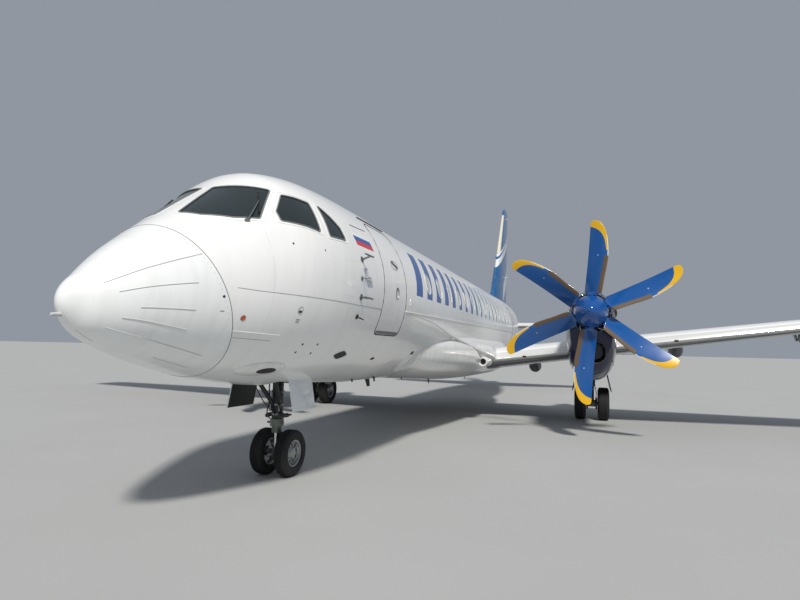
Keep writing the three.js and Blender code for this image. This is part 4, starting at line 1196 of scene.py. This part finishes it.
# %% Spinner and hub
DISC = 8.795  # the station of the propeller's plane
PROP_CENTRE = by_engine(0, DISC, 2.686)
BLADES, BLADE_PHASE = 6, 3.45
SPINNER_TIP, SPINNER_WALL = 8.23, 0.012
SPINNER = [
    (8.23, 0), (8.25, 0.062), (8.32, 0.145), (8.46, 0.245), (8.64, 0.32), (8.82, 0.35), (9.06, 0.36),
]
dome_at = curve_through([(sqrt(s - SPINNER_TIP), r) for s, r in SPINNER])
dome = [(SPINNER_TIP + u * u, dome_at(u)[0]) for u in steps(0, sqrt(0.83), 26)]
wall = [(s, max(r - SPINNER_WALL, 0)) for s, r in reversed(dome) if r > 0.05] + [(8.262, 0)]
profile = [(s - DISC, r) for s, r in dome + wall]


def around_hub(piece, name):
    """Six copies round the shaft, joined; the piece stands above the hub."""
    copies = []
    for i in range(BLADES):
        copy = twin(piece, name)
        turn = Matrix.Rotation(radians(BLADE_PHASE + 60 * i), 4, "Y")
        copy.data.transform(Matrix.Translation(PROP_CENTRE) @ turn)
        copies.append(copy)
    removed(piece)
    return merged(copies, name)


spinner = turned("spinner", profile, PROP_CENTRE, (0, 1, 0), 96)
cut(spinner, around_hub(rod("hole", (0, 0, 0.15), (0, 0, 0.46), 0.0995, 40), "holes"))
COLLAR = [(0.31, 0.098), (0.31, 0.05), (0.356, 0.05), (0.348, 0.09), (0.338, 0.098)]
collars = around_hub(turned("collar", COLLAR, (0, 0, 0), (0, 0, 1), 40), "collars")
HUB = [
    (-0.155, 0), (-0.155, 0.2), (-0.14, 0.215), (0.18, 0.215), (0.195, 0.2), (0.195, 0.08),
    (0.765, 0.08), (0.765, 0),
]
hub = turned("hub", HUB, PROP_CENTRE, (0, 1, 0), 48)
print("spinner", len(spinner.data.polygons), "faces")

# %% [markdown]
# A blade is a grid wrapped round an aerofoil: its columns run round the section from the
# trailing edge over the back and return along the face, and its rows run from the round root
# to the tip. The UV map keeps how far a point is from the leading edge, and its radius in
# metres, so that the paint's edges follow the blade. The rows of BLADE give the radius, the
# trailing and the leading edge, the pitch in degrees and the thickness.

# %% Blade
BLADE = [
    (0.18, -0.058, 0.058, 40, 0.11), (0.35, -0.058, 0.058, 40, 0.11),
    (0.4, -0.15, 0.188, 40, 0.052), (0.7, -0.135, 0.228, 34, 0.04), (1.2, -0.114, 0.282, 26, 0.03),
    (1.52, -0.107, 0.255, 22, 0.024), (1.76, -0.105, 0.19, 19, 0.018),
    (1.88, -0.102, 0.118, 17, 0.012), (1.93, -0.088, 0.055, 16.6, 0.008),
    (1.95, -0.055, 0.01, 16.5, 0.006),
]
blade_at = curve_through(BLADE)
ROUND, ROWS = 18, 54


def thickness(c):
    """The half thickness of a standard section at a share of its chord."""
    return (0.2969 * sqrt(c) - 0.126 * c - 0.3516 * c**2 + 0.2843 * c**3 - 0.1036 * c**4) / 0.1


def blade_point(column, radius):
    trail, lead, pitch, thick = blade_at(radius)
    turn = pi * column / ROUND
    c, back = (1 + cos(turn)) / 2, column <= ROUND
    root = min(max((0.41 - radius) / 0.06, 0), 1)
    foil = thickness(c) * (0.62 if back else -0.3)
    lift = foil * (1 - root) + 0.5 * sin(turn) * root
    along, over = (0.5 - c) * (lead - trail) / cos(radians(pitch)), lift * thick
    sideways = (lead + trail) / 2 + along * cos(radians(pitch)) - over * sin(radians(pitch))
    forward = along * sin(radians(pitch)) + over * cos(radians(pitch))
    return Vector((sideways, -forward, radius)), c


bpy.ops.object.select_all(action="DESELECT")
bpy.ops.mesh.primitive_grid_add(x_subdivisions=2 * ROUND, y_subdivisions=ROWS, size=1, calc_uvs=True)
blade = bpy.context.object
radii = steps(0.18, 0.5, 15)[:-1] + steps(0.5, 1.84, 30)[:-1] + steps(1.84, 1.95, ROWS + 1 - 43)
uv = blade.data.uv_layers.active
grid = {
    v.index: (round((v.co.x + 0.5) * 2 * ROUND), round((v.co.y + 0.5) * ROWS))
    for v in blade.data.vertices
}
for loop in blade.data.loops:
    column, row = grid[loop.vertex_index]
    uv.data[loop.index].uv = (blade_point(column, radii[row])[1], radii[row])
for v in blade.data.vertices:
    column, row = grid[v.index]
    v.co = blade_point(column, radii[row])[0]
editing(blade)
bpy.ops.mesh.remove_doubles(threshold=0.00002)
bpy.ops.mesh.fill_holes(sides=0)
done()
outward(blade)
print("blade", len(blade.data.polygons), "faces")

# %% [markdown]
# Blade paint: royal blue gloss. A brown rubber boot covers the inner leading edge, a bright
# metal strip the outer one, and the tip is yellow with a curved edge that runs down the leading
# edge. A pale balance mark sits at mid chord. Flying grit pales the paint there too.


# %% Blade paint
BOOT, STRIP = (0.4, 1.18), (1.18, 1.62)  # from one radius to another
MARK_RADIUS, MARK_SIZE = 1.2, 0.013


def blade_finish():
    material, tree, surface, tone = gloss_paint(
        "royal blue gloss on composite blades", "#004d92", 0.0006, roughness=0.3, dirt=0.03
    )
    uv = put(tree, "UVMap").outputs[0]
    chord, radius, _ = put(tree, "SeparateXYZ", {0: uv}).outputs
    wear = ramp(tree, chord, 0.0, 0.35, 0.1, 0.0)
    tone = blend(tree, wear, tone, colour("#6f8fbd"))
    over = maths(tree, "POWER", maths(tree, "SUBTRACT", maths(tree, "DIVIDE", 1.0, chord), 1.0), 0.9)
    edge = maths(tree, "MULTIPLY_ADD", over, -0.065, 1.82)
    tip = maths(tree, "GREATER_THAN", radius, maths(tree, "MAXIMUM", edge, 1.3))
    tone = blend(tree, tip, tone, colour("#dcab0a"))
    boot = maths(tree, "MULTIPLY", maths(tree, "LESS_THAN", chord, 0.2), band(tree, radius, *BOOT))
    tone = blend(tree, boot, tone, colour("#5c4a35"))
    front = maths(tree, "LESS_THAN", chord, 0.035)
    strip = maths(tree, "MULTIPLY", front, band(tree, radius, *STRIP))
    tone = blend(tree, strip, tone, colour("#d9d6c4"))
    wide = maths(tree, "MULTIPLY", maths(tree, "SUBTRACT", chord, 0.5), 0.4)
    high = maths(tree, "SUBTRACT", radius, MARK_RADIUS)
    squares = [maths(tree, "MULTIPLY", value, value) for value in (wide, high)]
    mark = maths(tree, "LESS_THAN", maths(tree, "ADD", *squares), MARK_SIZE**2)
    tone = blend(tree, mark, tone, colour("#9db9d8"))
    tree.links.new(tone, surface.inputs["Base Color"])
    rough = maths(tree, "MULTIPLY_ADD", boot, 0.36, 0.24)
    tree.links.new(rough, surface.inputs["Roughness"])
    whole = put(tree, "TexCoord").outputs["Object"]
    peel = put(tree, "TexNoise", {"Vector": whole, "Scale": 70.0, "Detail": 2.0})
    height = maths(tree, "MULTIPLY_ADD", peel.outputs[0], 0.2, boot)
    relief(tree, surface, height, 0.002)
    return material


blade_paint = blade_finish()

# %% [markdown]
# Beside each root a steel wire and its rubber cable arch over the boot. Both propellers are the
# same piece, moved over: they turn the same way.

# %% Both propellers
hoop = [Vector((0.075 + 0.13 * i / 24, 0.11, 0.31 + 0.16 * sin(pi * i / 24) ** 0.7)) for i in range(25)]
wire = bead("wire", hoop, 0.008, closed=False)
cable = bead("cable", [point + Vector((0.012, 0.045, -0.01)) for point in hoop], 0.008, closed=False)
wires = around_hub(wire, "wires")
cables = around_hub(cable, "cables")
blades = around_hub(blade, "blades")
for side, sign in SIDES.items():
    shift = Matrix.Translation((0 if sign > 0 else -2 * ENGINE_X, 0, 0))
    body = side + "_propeller"
    for piece, material, slot, nodes, angle in (
        (blades, blade_paint, "blade_blue", ["propeller_" + side], 40),
        (spinner, spinner_paint, "spinner_blue", ["spinner_" + side], 40),
        (hub, steel, "engine_steel", [], 40), (collars, spinner_paint, "spinner_blue", [], 40),
        (cables, rubber, "deck_trim", [], 60), (wires, chrome, "engine_steel", [], 60),
    ):
        copy = twin(piece, f"propeller_{piece.name}_{side}")
        copy.data.transform(shift)
        finish(copy, material, body, nodes, angle)
removed(blades, spinner, hub, collars, cables, wires)

# %% [markdown]
# A wheel and its tyre are turned too. The tyre has a flat tread with four grooves and rounded
# shoulders. The wheel is a forging with flanged rims, a dished web and lightening holes, and
# its two halves are held by a ring of bolts.


# %% Wheels and tyres
SIDE_WALL = (
    (0.6, 0.0), (0.8, 0.04), (0.93, 0.2), (0.97, 0.42), (0.95, 0.64), (0.86, 0.83), (0.7, 0.945),
    (0.55, 0.99),
)  # shares of the half width and of the height from the rim to the tread


def tyre(radius, rim, width, groove):
    half = [(a * width / 2, rim + h * (radius - rim)) for a, h in SIDE_WALL]
    step = 0.055 * width
    for a in (0.4, 0.14):
        middle, deep = a * width / 2, radius - groove
        half += [(middle + step / 2, radius), (middle + step / 4, deep)]
        half += [(middle - step / 4, deep), (middle - step / 2, radius)]
    return half + [(-a, r) for a, r in reversed(half)] + [half[0]]


def wheel(radius, rim, width, axle):
    """The forging's section: outer hub, dished web, outer flange, inner flange, inner hub."""
    w = width / 2
    return [
        (w * 0.66, 0), (w * 0.66, axle * 0.8), (w * 0.58, axle * 1.05), (w * 0.58, axle * 1.5),
        (w * 0.4, axle * 1.7), (w * 0.28, rim * 0.5), (w * 0.3, rim * 0.8), (w * 0.5, rim * 0.88),
        (w * 0.68, rim * 0.9), (w * 0.74, rim * 0.97), (w * 0.74, rim + 0.012),
        (w * 0.66, rim + 0.016), (w * 0.58, rim - 0.001), (-w * 0.58, rim - 0.001),
        (-w * 0.66, rim + 0.016), (-w * 0.74, rim + 0.012), (-w * 0.74, rim * 0.97),
        (-w * 0.6, rim * 0.9), (-w * 0.1, rim * 0.86), (-w * 0.02, axle * 1.7),
        (-w * 0.5, axle * 1.5), (-w * 0.5, 0),
    ]


def wheel_set(size, holes, sides):
    """One wheel and tyre about the origin, the outer face towards +X."""
    radius, rim, width, axle, groove = size
    rubber_part = turned("tyre", tyre(radius, rim, width, groove), (0, 0, 0), (1, 0, 0), sides)
    hub_part = turned("wheel", wheel(radius, rim, width, axle), (0, 0, 0), (1, 0, 0), sides)
    drills, bolts = [], []
    for i in range(holes):
        turn = Matrix.Rotation(2 * pi * i / holes, 4, "X")
        drill = rod("drill", (-width / 8, 0, rim * 0.65), (width / 2, 0, rim * 0.65), rim * 0.15, 20)
        drill.data.transform(turn)
        drills.append(drill)
        bolt = rod("bolt", (width * 0.1, 0, rim * 0.45), (width * 0.2, 0, rim * 0.45), rim * 0.045, 6)
        bolt.data.transform(Matrix.Rotation(pi / holes, 4, "X") @ turn)
        bolts.append(bolt)
    cut(hub_part, merged(drills, "drills"))
    return rubber_part, merged([hub_part] + bolts, "wheel")


# radius, rim radius, width, axle radius, groove depth; then half the distance between the
# wheels, the lightening holes, the height and station of the axle, and where the legs are
WHEELS = {
    "nose": ((0.32, 0.178, 0.195, 0.042, 0.011), 0.19, 9, 3.567, {"nose": 0}),
    "main": ((0.44, 0.236, 0.305, 0.055, 0.013), 0.3, 10, 12.697, {"left": 4.2, "right": -4.2}),
}
for gear, (size, half, holes, station, legs) in WHEELS.items():
    rubber_part, hub_part = wheel_set(size, holes, 72)
    for leg, x in legs.items():
        middle = Vector((x, aft(station), size[0]))
        reach = Vector((half, 0, 0))
        body = leg + "_wheel_pair"
        halves = []
        for side, sign in SIDES.items():
            shift = Matrix.Translation(middle + reach * sign)
            tread = sided(rubber_part, f"{gear}_tyre_{leg}_{side}", sign)
            tread.data.transform(shift)
            node = f"nose_tyre_{side}" if gear == "nose" else f"main_tyre_{leg}_{side}"
            finish(tread, tyre_rubber, body, [node], 30)
            web = sided(hub_part, "web", sign)
            web.data.transform(shift)
            halves.append(web)
        halves.append(rod("axle", middle - reach, middle + reach, size[3] * 0.9, 32))
        node = "nose_wheels" if gear == "nose" else "main_wheels_" + leg
        finish(merged(halves, f"{gear}_wheels_{leg}"), alloy, body, [node], 35)
    removed(rubber_part, hub_part)

# %% [markdown]
# Flat and forged pieces keep the exact shape that the CAD gives them. A copy of the node has
# its loose triangles merged and its flat faces dissolved, its sharp edges get a small radius
# that catches the light, and it is shaded smooth over its shallow edges.


def dressed(node, material, body="airframe", ease=0.003, angle=32):
    piece = bpy.data.objects.new(node + "_dressed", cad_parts[node].data.copy())
    bpy.context.scene.collection.objects.link(piece)
    editing(piece)
    bpy.ops.mesh.remove_doubles(threshold=0.00005)
    bpy.ops.mesh.dissolve_limited(angle_limit=radians(0.5))
    done()
    modified(piece, "BEVEL", width=ease, segments=2, limit_method="ANGLE", angle_limit=radians(45))
    return finish(piece, material, body, [node], angle)


def lined(piece, towards, lining):
    """Gives the faces that look one way along X a lining of their own."""
    piece.data.materials.append(lining)
    for face in piece.data.polygons:
        if face.normal.x * towards > 0.7:
            face.material_index = 1


for side, sign in SIDES.items():
    for node, body, paint in (
        ("wing_", "airframe", wing_paint), ("tailplane_", "airframe", tailplane_paint),
        ("inner_flap_", "_inner_flap", wing_paint), ("outer_flap_", "_outer_flap", wing_paint),
        ("aileron_", "_aileron", wing_paint), ("elevator_", "_elevator", tailplane_paint),
        ("spoiler_", "_spoiler", wing_paint),
    ):
        dressed(node + side, paint, body if body == "airframe" else side + body)
    # each door's inner face gets the dark primer that also carries painted shade
    for node, paint, inside in (
        ("nose_gear_door_", door_paint, -sign), ("outer_gear_door_", navy_paint, -sign),
        ("inner_gear_door_", navy_paint, sign),
    ):
        lined(dressed(node + side, paint), inside, primer_and_painted_shade)
    dressed("exhaust_" + side, burnt, ease=0.002, angle=40)
    dressed("engine_" + side, steel, ease=0.01, angle=40)
    dressed("main_leg_" + side, gear_paint, ease=0.005, angle=40)
dressed("fin", fin_paint)
dressed("rudder", fin_paint, "rudder")
dressed("flight_deck", trim, ease=0.012)
dressed("nose_leg", dark_paint, ease=0.004, angle=40)
dressed("nose_strut", gear_paint, "nose_steering", ease=0.004, angle=40)

# %% [markdown]
# Where the wing meets the fuselage a ridge grows out of the skin line, swells into a rounded
# nose over the wing's root and takes in cooling air through a ringed hole. The ridge is one
# bead whose radius grows along it, half sunk in the skin. Antenna blades, drain masts and the
# nose jacking pad hang below the belly.

# %% Wing root and belly
RIDGE = [
    (4.96, 1.395, 2.385, 0.01), (6.3, 1.385, 2.337, 0.018), (8.0, 1.35, 2.134, 0.025),
    (9.3, 1.44, 1.95, 0.05), (9.8, 1.49, 1.87, 0.09), (10.15, 1.52, 1.81, 0.155),
    (10.5, 1.545, 1.76, 0.215), (11.0, 1.58, 1.71, 0.262), (11.5, 1.6, 1.67, 0.25),
    (12.2, 1.58, 1.62, 0.18),
]  # station, x, height and radius
ridge_at = curve_through(RIDGE)
stations = steps(4.96, 12.2, 96)
rows = [ridge_at(s) for s in stations]
route = [Vector((x, aft(s), z)) for s, (x, z, _) in zip(stations, rows)]
ridge = bead("ridge", route, 1.0, closed=False, sides=7, swell=[r for *_, r in rows])
pair(ridge, "wing_root_ridge", fairing_paint)
INLET = Vector((1.65, aft(10.2), 1.535))
LIP = [
    (0.6, 0), (0.6, 0.125), (0, 0.115), (-0.014, 0.107), (-0.014, 0.09), (0, 0.078), (0.14, 0.078),
    (0.14, 0),
]
pair(turned("inlet", LIP, INLET, (0, 1, 0), 40), "root_inlet", fairing_paint)
grille = rod("grille", INLET + Vector((0, 0.09, 0)), INLET + Vector((0, 0.139, 0)), 0.077, 40, 0.06)
pair(grille, "root_inlet_grille", mesh_grey)

fairing_at = curve_through(FAIRING)


def belly(station, x):
    """The height of the lowest skin under a point."""
    behind = station > 6.6
    half, top, bottom = fairing_at(station) if behind else fuselage_at(station)
    power = FAIRING_POWER if behind else 2.0
    return (top + bottom) / 2 - (top - bottom) / 2 * (1 - (abs(x) / half) ** power) ** (1 / power)


def mast(station, x, length, tall, thick=0.012):
    """A blade swept back below the belly."""
    z, y = belly(station, x), aft(station)
    fin = block("mast", (x - thick / 2, y, z - tall), (x + thick / 2, y + length, z + 0.03))
    low = [v.index for v in fin.data.vertices if v.co.z < z]
    editing(fin, "DESELECT")
    done()
    for i in low:
        fin.data.vertices[i].select = True
    bpy.ops.object.mode_set(mode="EDIT")
    bpy.ops.transform.resize(value=(0.6, 0.6, 1), center_override=(x, y + length / 2, z))
    bpy.ops.transform.translate(value=(0, tall * 0.6, 0))
    bpy.ops.mesh.select_all(action="SELECT")
    bpy.ops.mesh.bevel(offset=0.003, segments=2, affect="EDGES")
    done()
    return fin


MASTS = (
    (5.03, 0.42, 0.07, 0.05), (5.78, 0.5, 0.1, 0.09), (7.3, 0.5, 0.07, 0.06),
    (9.07, 0.55, 0.12, 0.11), (6.6, 0.0, 0.22, 0.16, 0.02), (12.84, 0.58, 0.1, 0.1),
    (15.6, 0.0, 0.26, 0.18, 0.022),
)
masts = merged([mast(*row) for row in MASTS], "belly_masts")
finish(masts, mesh_grey)
PAD = [
    (0.05, 0), (0.05, 0.052), (0.012, 0.052), (0.004, 0.045), (-0.038, 0.045), (-0.042, 0.04),
    (-0.042, 0.024), (-0.034, 0),
]
pad = turned("nose_jack_pad", PAD, (0, aft(5.05), 1.232), (0, 0, 1), 40)
finish(pad, gear_paint)


def blister(name, station, height, length, tall, rise):
    """A dome laid on the skin: a ball's sides become its outline and its height its rise."""
    bpy.ops.object.select_all(action="DESELECT")
    bpy.ops.mesh.primitive_uv_sphere_add(segments=48, ring_count=24, radius=1)
    ball = bpy.context.object
    ball.name = name
    for v in ball.data.vertices:
        along, above, out = v.co
        v.co = flank(station + along * length / 2, height + above * tall / 2, out * rise)
    return outward(ball)


shallow = blister("blister", 2.13, 1.545, 0.66, 0.16, 0.035)
pair(shallow, "recess_fairing", fairing_paint)
recess = plate("recess", oval(2.17, 1.55, 0.26, 0.06, 28), 0.037, 0.012)
pair(recess, "recess_grille", mesh_grey)

# %% [markdown]
# Each flap hangs on arms that turn inside streamlined pods below the wing. A pod is a small
# hull of its own: a sharp front, a round belly and a blunt end at the hinge.

# %% Flap pods
def wing_row(stations, span):
    """The leading edge, chord and middle height of a wing or tailplane at a span."""
    root, tip = stations
    part = (span - root[0]) / (tip[0] - root[0])
    return (root[i] + (tip[i] - root[i]) * part for i in (1, 2, 3))


def pod(span):
    part = (span - WING[0][0]) / (WING[1][0] - WING[0][0])
    lead, chord, middle = wing_row(WING, span)
    thick = 2 * (0.29035 * (0.165 - 0.04 * part) + 0.00286) * chord
    under = middle + 0.08 * thick - thick / 2 - 0.17
    front, hinge = lead + 0.4 * chord, lead + 0.715 * chord
    run = hinge - front
    rows = [
        (front, 0.028, 0.192, 0.128), (front + run * 0.25, 0.125, 0.212, -0.052),
        (front + run * 0.6, 0.172, 0.207, -0.167), (hinge - 0.06, 0.122, 0.117, -0.147),
        (hinge + 0.062, 0.07, 0.057, -0.107),
    ]
    rows = [(station, half, under + top, under + low) for station, half, top, low in rows]
    return drawn_hull("pod", rings_through(rows, 22), sides=40, x=span)


pair(merged([pod(span) for span in (2.65, 6.35, 9.3)], "pods"), "flap_pods", pod_grey)

# %% [markdown]
# Along the edges of the wings and tail sit the small things that catch the eye on a real
# aircraft: wicks that bleed off static charge, the tip lamps under clear lenses, the probes in
# the leading edge, and the lamp at the end of the tail.

# %% Wing and tail fittings
def on_wing(stations, span, share, rise=0.0):
    """A point of a wing or tailplane at a span and a share of the chord."""
    lead, chord, middle = wing_row(stations, span)
    return Vector((span, aft(lead + share * chord), middle + rise))


WICKS = {
    "_aileron": (WING, (10.4, 11.5, 12.6, 13.7), -0.004),
    "_elevator": (TAILPLANE, (1.6, 2.9, 4.2, 5.0), 0.0),
}
for body, (stations, spans, rise) in WICKS.items():
    wicks = []
    for span in spans:
        root = on_wing(stations, span, 0.99, rise)
        wicks += [rod("wick", root, root + Vector((0, 0.17, -0.008)), 0.004, 8, 0.003)]
        wicks += [rod("foot", root - Vector((0, 0.05, 0)), root + Vector((0, 0.03, 0)), 0.009, 8, 0.006)]
    pair(merged(wicks, "wicks"), "static_wicks" + body, mesh_grey, body)
wicks = []
for z in (5.3, 6.5, 7.6, 8.6):
    root = Vector((0, aft(25.1 + 0.43 * (z - 3.5) / 5.5), z))
    wicks += [rod("wick", root, root + Vector((0, 0.2, 0.008)), 0.006, 8, 0.004)]
finish(merged(wicks, "static_wicks_rudder"), mesh_grey, "rudder")
aerials = [
    rod("aerial", (0.02, aft(s), z), (reach, aft(s + 0.06), z), 0.014, 12, 0.01)
    for s, z, reach in ((24.3, 8.6, 0.24), (23.5, 5.45, 0.34))
]
pair(merged(aerials, "aerials"), "fin_aerials", strip_white)


def lens(name, centre, size, material, body="airframe"):
    """A drop of glass, a ball squeezed to its three half sizes."""
    bpy.ops.object.select_all(action="DESELECT")
    bpy.ops.mesh.primitive_uv_sphere_add(
        segments=28, ring_count=14, radius=1, location=centre, scale=size
    )
    drop = settle(bpy.context.object)
    editing(drop)
    bpy.ops.transform.resize(value=(1, 1.12, 1), center_override=centre)
    done()
    drop.name = name
    return finish(drop, material, body, angle=60)


for side, sign in SIDES.items():
    lamp = red_lens if sign > 0 else green_lens
    lens("tip_lamp_" + side, (14.82 * sign, aft(12.08), 3.296), (0.05, 0.1, 0.034), lamp)
    sensors = []
    for span in (2.56, 6.15):
        x, y, z = on_wing(WING, span, 0.0)
        x *= sign
        low, high = (x - 0.045, y - 0.006, z - 0.03), (x + 0.045, y + 0.06, z + 0.02)
        sensors.append(block("sensor", low, high, 0.006))
    finish(merged(sensors, "ice_sensors_" + side), burnt)
lens("tail_lamp", (0, aft(26.84), 3.5), (0.04, 0.035, 0.045), lamp_glass)

# %% [markdown]
# The engine's mouths get metal rims: the chin intake has a heated lip that follows the cowl's
# rounded face, and a ring closes the gap behind the spinner. Four joints run along the cowl,
# where its panels open, each with a row of latches.

# %% Nacelle fittings
nacelle_at = curve_through(NACELLE)


def on_cowl(station, angle, lift=0.0):
    """A point of the left nacelle's skin at an angle above its widest line."""
    half, top, bottom = nacelle_at(station)
    a, b = (squarer(v, NACELLE_POWER) for v in (cos(angle), sin(angle)))
    height = (top + bottom) / 2 + ((top - bottom) / 2 + lift) * b
    return by_engine((half + lift) * a, station, height)


def mouth_point(angle):
    """Where the intake's oval wall comes out of the cowl."""
    a, b = (squarer(v, INTAKE_POWER) for v in (cos(angle), sin(angle)))
    _, wide, high, low = INTAKE[0]
    slope = (INTAKE[1][3] - low) / (INTAKE[1][0] - INTAKE[0][0])
    station = NACELLE[0][0]
    while station < INTAKE[1][0]:
        floor = low + slope * (station - INTAKE[0][0])
        x, z = wide * a, (high + floor) / 2 + (high - floor) / 2 * b
        half, top, bottom = nacelle_at(station)
        side, rise = abs(x) / half, abs(z - (top + bottom) / 2) * 2 / (top - bottom)
        if side**NACELLE_POWER + rise**NACELLE_POWER < 1:
            break
        station += 0.004
    return by_engine(x, station, z)


lip = bead("intake_lip", [mouth_point(2 * pi * i / 72) for i in range(72)], 0.019, sides=4)
pair(lip, "intake_lip", steel, angle=60)
RING = [
    (0.02, 0.366), (-0.012, 0.366), (-0.02, 0.376), (-0.02, 0.392), (-0.008, 0.4), (0.02, 0.4),
    (0.02, 0.366),
]
ring = turned("ring", RING, by_engine(0, 9.118, 2.62), (0, 1, 0), 72)
pair(ring, "mouth_ring", grey_metal)

COWL_JOINTS = (-0.62, pi + 0.62, 0.75, pi - 0.75)  # angles above the widest line
UP = Vector((0, 0, 1))
latches = []
for station in (9.5, 10.1, 10.7, 11.3):
    for angle in COWL_JOINTS:
        spot, out = on_cowl(station, angle), on_cowl(station, angle, 1) - on_cowl(station, angle)
        latch = block("latch", (-0.018, -0.055, -0.006), (0.018, 0.055, 0.004), 0.002)
        tilt = UP.rotation_difference(out).to_matrix().to_4x4()
        latch.data.transform(Matrix.Translation(spot) @ tilt)
        latches.append(latch)
pair(merged(latches, "latches"), "cowl_latches", grey_metal)
joints = []
for angle in COWL_JOINTS:
    path = [on_cowl(9.3 + 0.1 * i, angle, -0.001) for i in range(26)]
    joints.append(bead("joint", path, 0.0035, closed=False, sides=1))
pair(merged(joints, "joints"), "cowl_joints", rubber, angle=60)

# %% [markdown]
# The legs carry pipes and clamps. Each hose runs smoothly through a few points beside its leg,
# with rings round the barrel that hold it. The sliding tube below is ground chrome, and steel
# brake packs sit between the main wheels.

# %% Landing gear fittings
def hose(points, radius=0.009):
    """A smooth pipe through (x, station, z) points."""
    at = curve_through([(i, x, aft(s), z) for i, (x, s, z) in enumerate(points)])
    count = 8 * (len(points) - 1)
    return bead("hose", [Vector(at(i / 8)) for i in range(count + 1)], radius, closed=False, sides=2)


def ring_round(x, station, z, radius, tall=0.028, thick=0.012):
    """A clamp round an upright barrel."""
    inner, outer, half = radius - 0.003, radius + thick, tall / 2
    profile = [(-half, inner), (-half, outer), (half, outer), (half, inner), (-half, inner)]
    return turned("ring", profile, (x, aft(station), z), (0, 0, 1), 40)


rings = [ring_round(0, 3.5, z, 0.078) for z in (0.86, 0.99, 1.17, 1.38, 1.58)]
rings += [rod("valve", (x, aft(3.43), 0.9), (x, aft(3.43), 0.98), 0.02, 16) for x in (-0.07, 0.075)]
rings += [rod("lug", (-0.13, aft(3.47), 0.74), (0.13, aft(3.47), 0.74), 0.016, 16)]
finish(merged(rings, "nose_leg_clamps"), grey_metal)
HOSES = (
    (0.009, (0.06, 3.44, 1.62), (0.095, 3.42, 1.35), (0.07, 3.4, 1.1), (0.105, 3.42, 0.9),
     (0.08, 3.44, 0.8)),
    (0.009, (-0.05, 3.44, 1.62), (-0.1, 3.43, 1.3), (-0.075, 3.4, 1.05), (-0.11, 3.41, 0.88),
     (-0.09, 3.45, 0.79)),
    (0.012, (0.0, 3.415, 1.6), (0.02, 3.4, 1.3), (-0.015, 3.4, 1.0), (0.02, 3.4, 0.86)),
    (0.007, (-0.24, 3.1, 1.55), (-0.17, 3.2, 1.25), (-0.13, 3.36, 1.02), (-0.09, 3.42, 0.95)),
)  # the radius, then the points
hoses = [hose(points, radius) for radius, *points in HOSES]
finish(merged(hoses, "nose_leg_hoses"), rubber, angle=60)
jacks = []
for x in (-1, 1):
    jacks += [rod("jack", (0.1 * x, aft(3.4), 0.84), (0.135 * x, aft(3.56), 0.84), 0.03, 24)]
    jacks += [rod("stem", (0.135 * x, aft(3.55), 0.84), (0.15 * x, aft(3.62), 0.84), 0.014, 16)]
finish(merged(jacks, "steering_jacks"), dark_paint)
piston = rod("nose_piston", (0, aft(3.5), 0.4), (0, aft(3.5), 0.602), 0.0432, 48)
finish(piston, chrome, "nose_steering")
lower = [hose([(0.07, 3.44, 0.66), (0.1, 3.42, 0.56), (0.075, 3.43, 0.46), (0.06, 3.5, 0.38)], 0.007)]
finish(merged(lower, "nose_strut_hose"), rubber, "nose_steering", angle=60)

PACK = [
    (0.095, 0.06), (0.095, 0.15), (0.1, 0.158), (0.138, 0.158), (0.143, 0.15), (0.143, 0.06),
    (0.095, 0.06),
]
for side, sign in SIDES.items():
    x = ENGINE_X * sign
    rings = [ring_round(x, 12.697, z, 0.088, thick=0.014) for z in (0.93, 1.1, 1.28)]
    finish(merged(rings, "main_leg_clamps_" + side), grey_metal)
    piston = rod("main_piston_" + side, (x, aft(12.697), 0.54), (x, aft(12.697), 0.9), 0.0632, 48)
    finish(piston, chrome)
    hoses = []
    for k in (-1, 1):
        hoses.append(hose([
            (x + 0.05 * k, 12.61, 1.5), (x + 0.11 * k, 12.6, 1.2), (x + 0.08 * k, 12.58, 0.95),
            (x + 0.12 * k, 12.56, 0.72), (x + 0.1 * k, 12.62, 0.55),
        ], 0.01))
    finish(merged(hoses, "main_leg_hoses_" + side), rubber, angle=60)
    axle = (x, aft(12.697), 0.44)
    packs = [turned("pack", PACK, axle, (k, 0, 0), 48) for k in (-1, 1)]
    finish(merged(packs, "brake_packs_" + side), steel)

# %% [markdown]
# The floor is a pale matt sheet, and the light is one broad soft sun from ahead and to the
# left, as high as in the photograph, under an even sky that fills the shadows.

# %% Floor and light
floor, tree, surface = start("pale studio floor", Roughness=0.85)
whole = put(tree, "TexCoord").outputs["Object"]
cloud = put(tree, "TexNoise", {"Vector": whole, "Scale": 0.35, "Detail": 6.0})
tone = blend(tree, cloud.outputs[0], colour("#a8a9a8"), colour("#b1b2b1"))
tree.links.new(tone, surface.inputs["Base Color"])
bpy.ops.object.select_all(action="DESELECT")
bpy.ops.mesh.primitive_circle_add(vertices=96, radius=900, fill_type="NGON", location=(0, 0, 0))
ground = bpy.context.object
ground.name = "studio_floor"
ground.data.materials.append(floor)

world = bpy.data.worlds.new("even sky")
bpy.context.scene.world = world
world.use_nodes = True
sky = world.node_tree.nodes["Background"]
sky.inputs["Color"].default_value = colour("#aeb6c2")
sky.inputs["Strength"].default_value = 0.66
bpy.ops.object.light_add(type="SUN", location=(8, -20, 22))
sun = bpy.context.object
sun.data.energy = 3.4
sun.data.angle = radians(6)
sun.data.color = (1, 0.965, 0.91)
sun.rotation_euler = Vector((0.8, -1.75, 2.142)).to_track_quat("Z", "Y").to_euler()
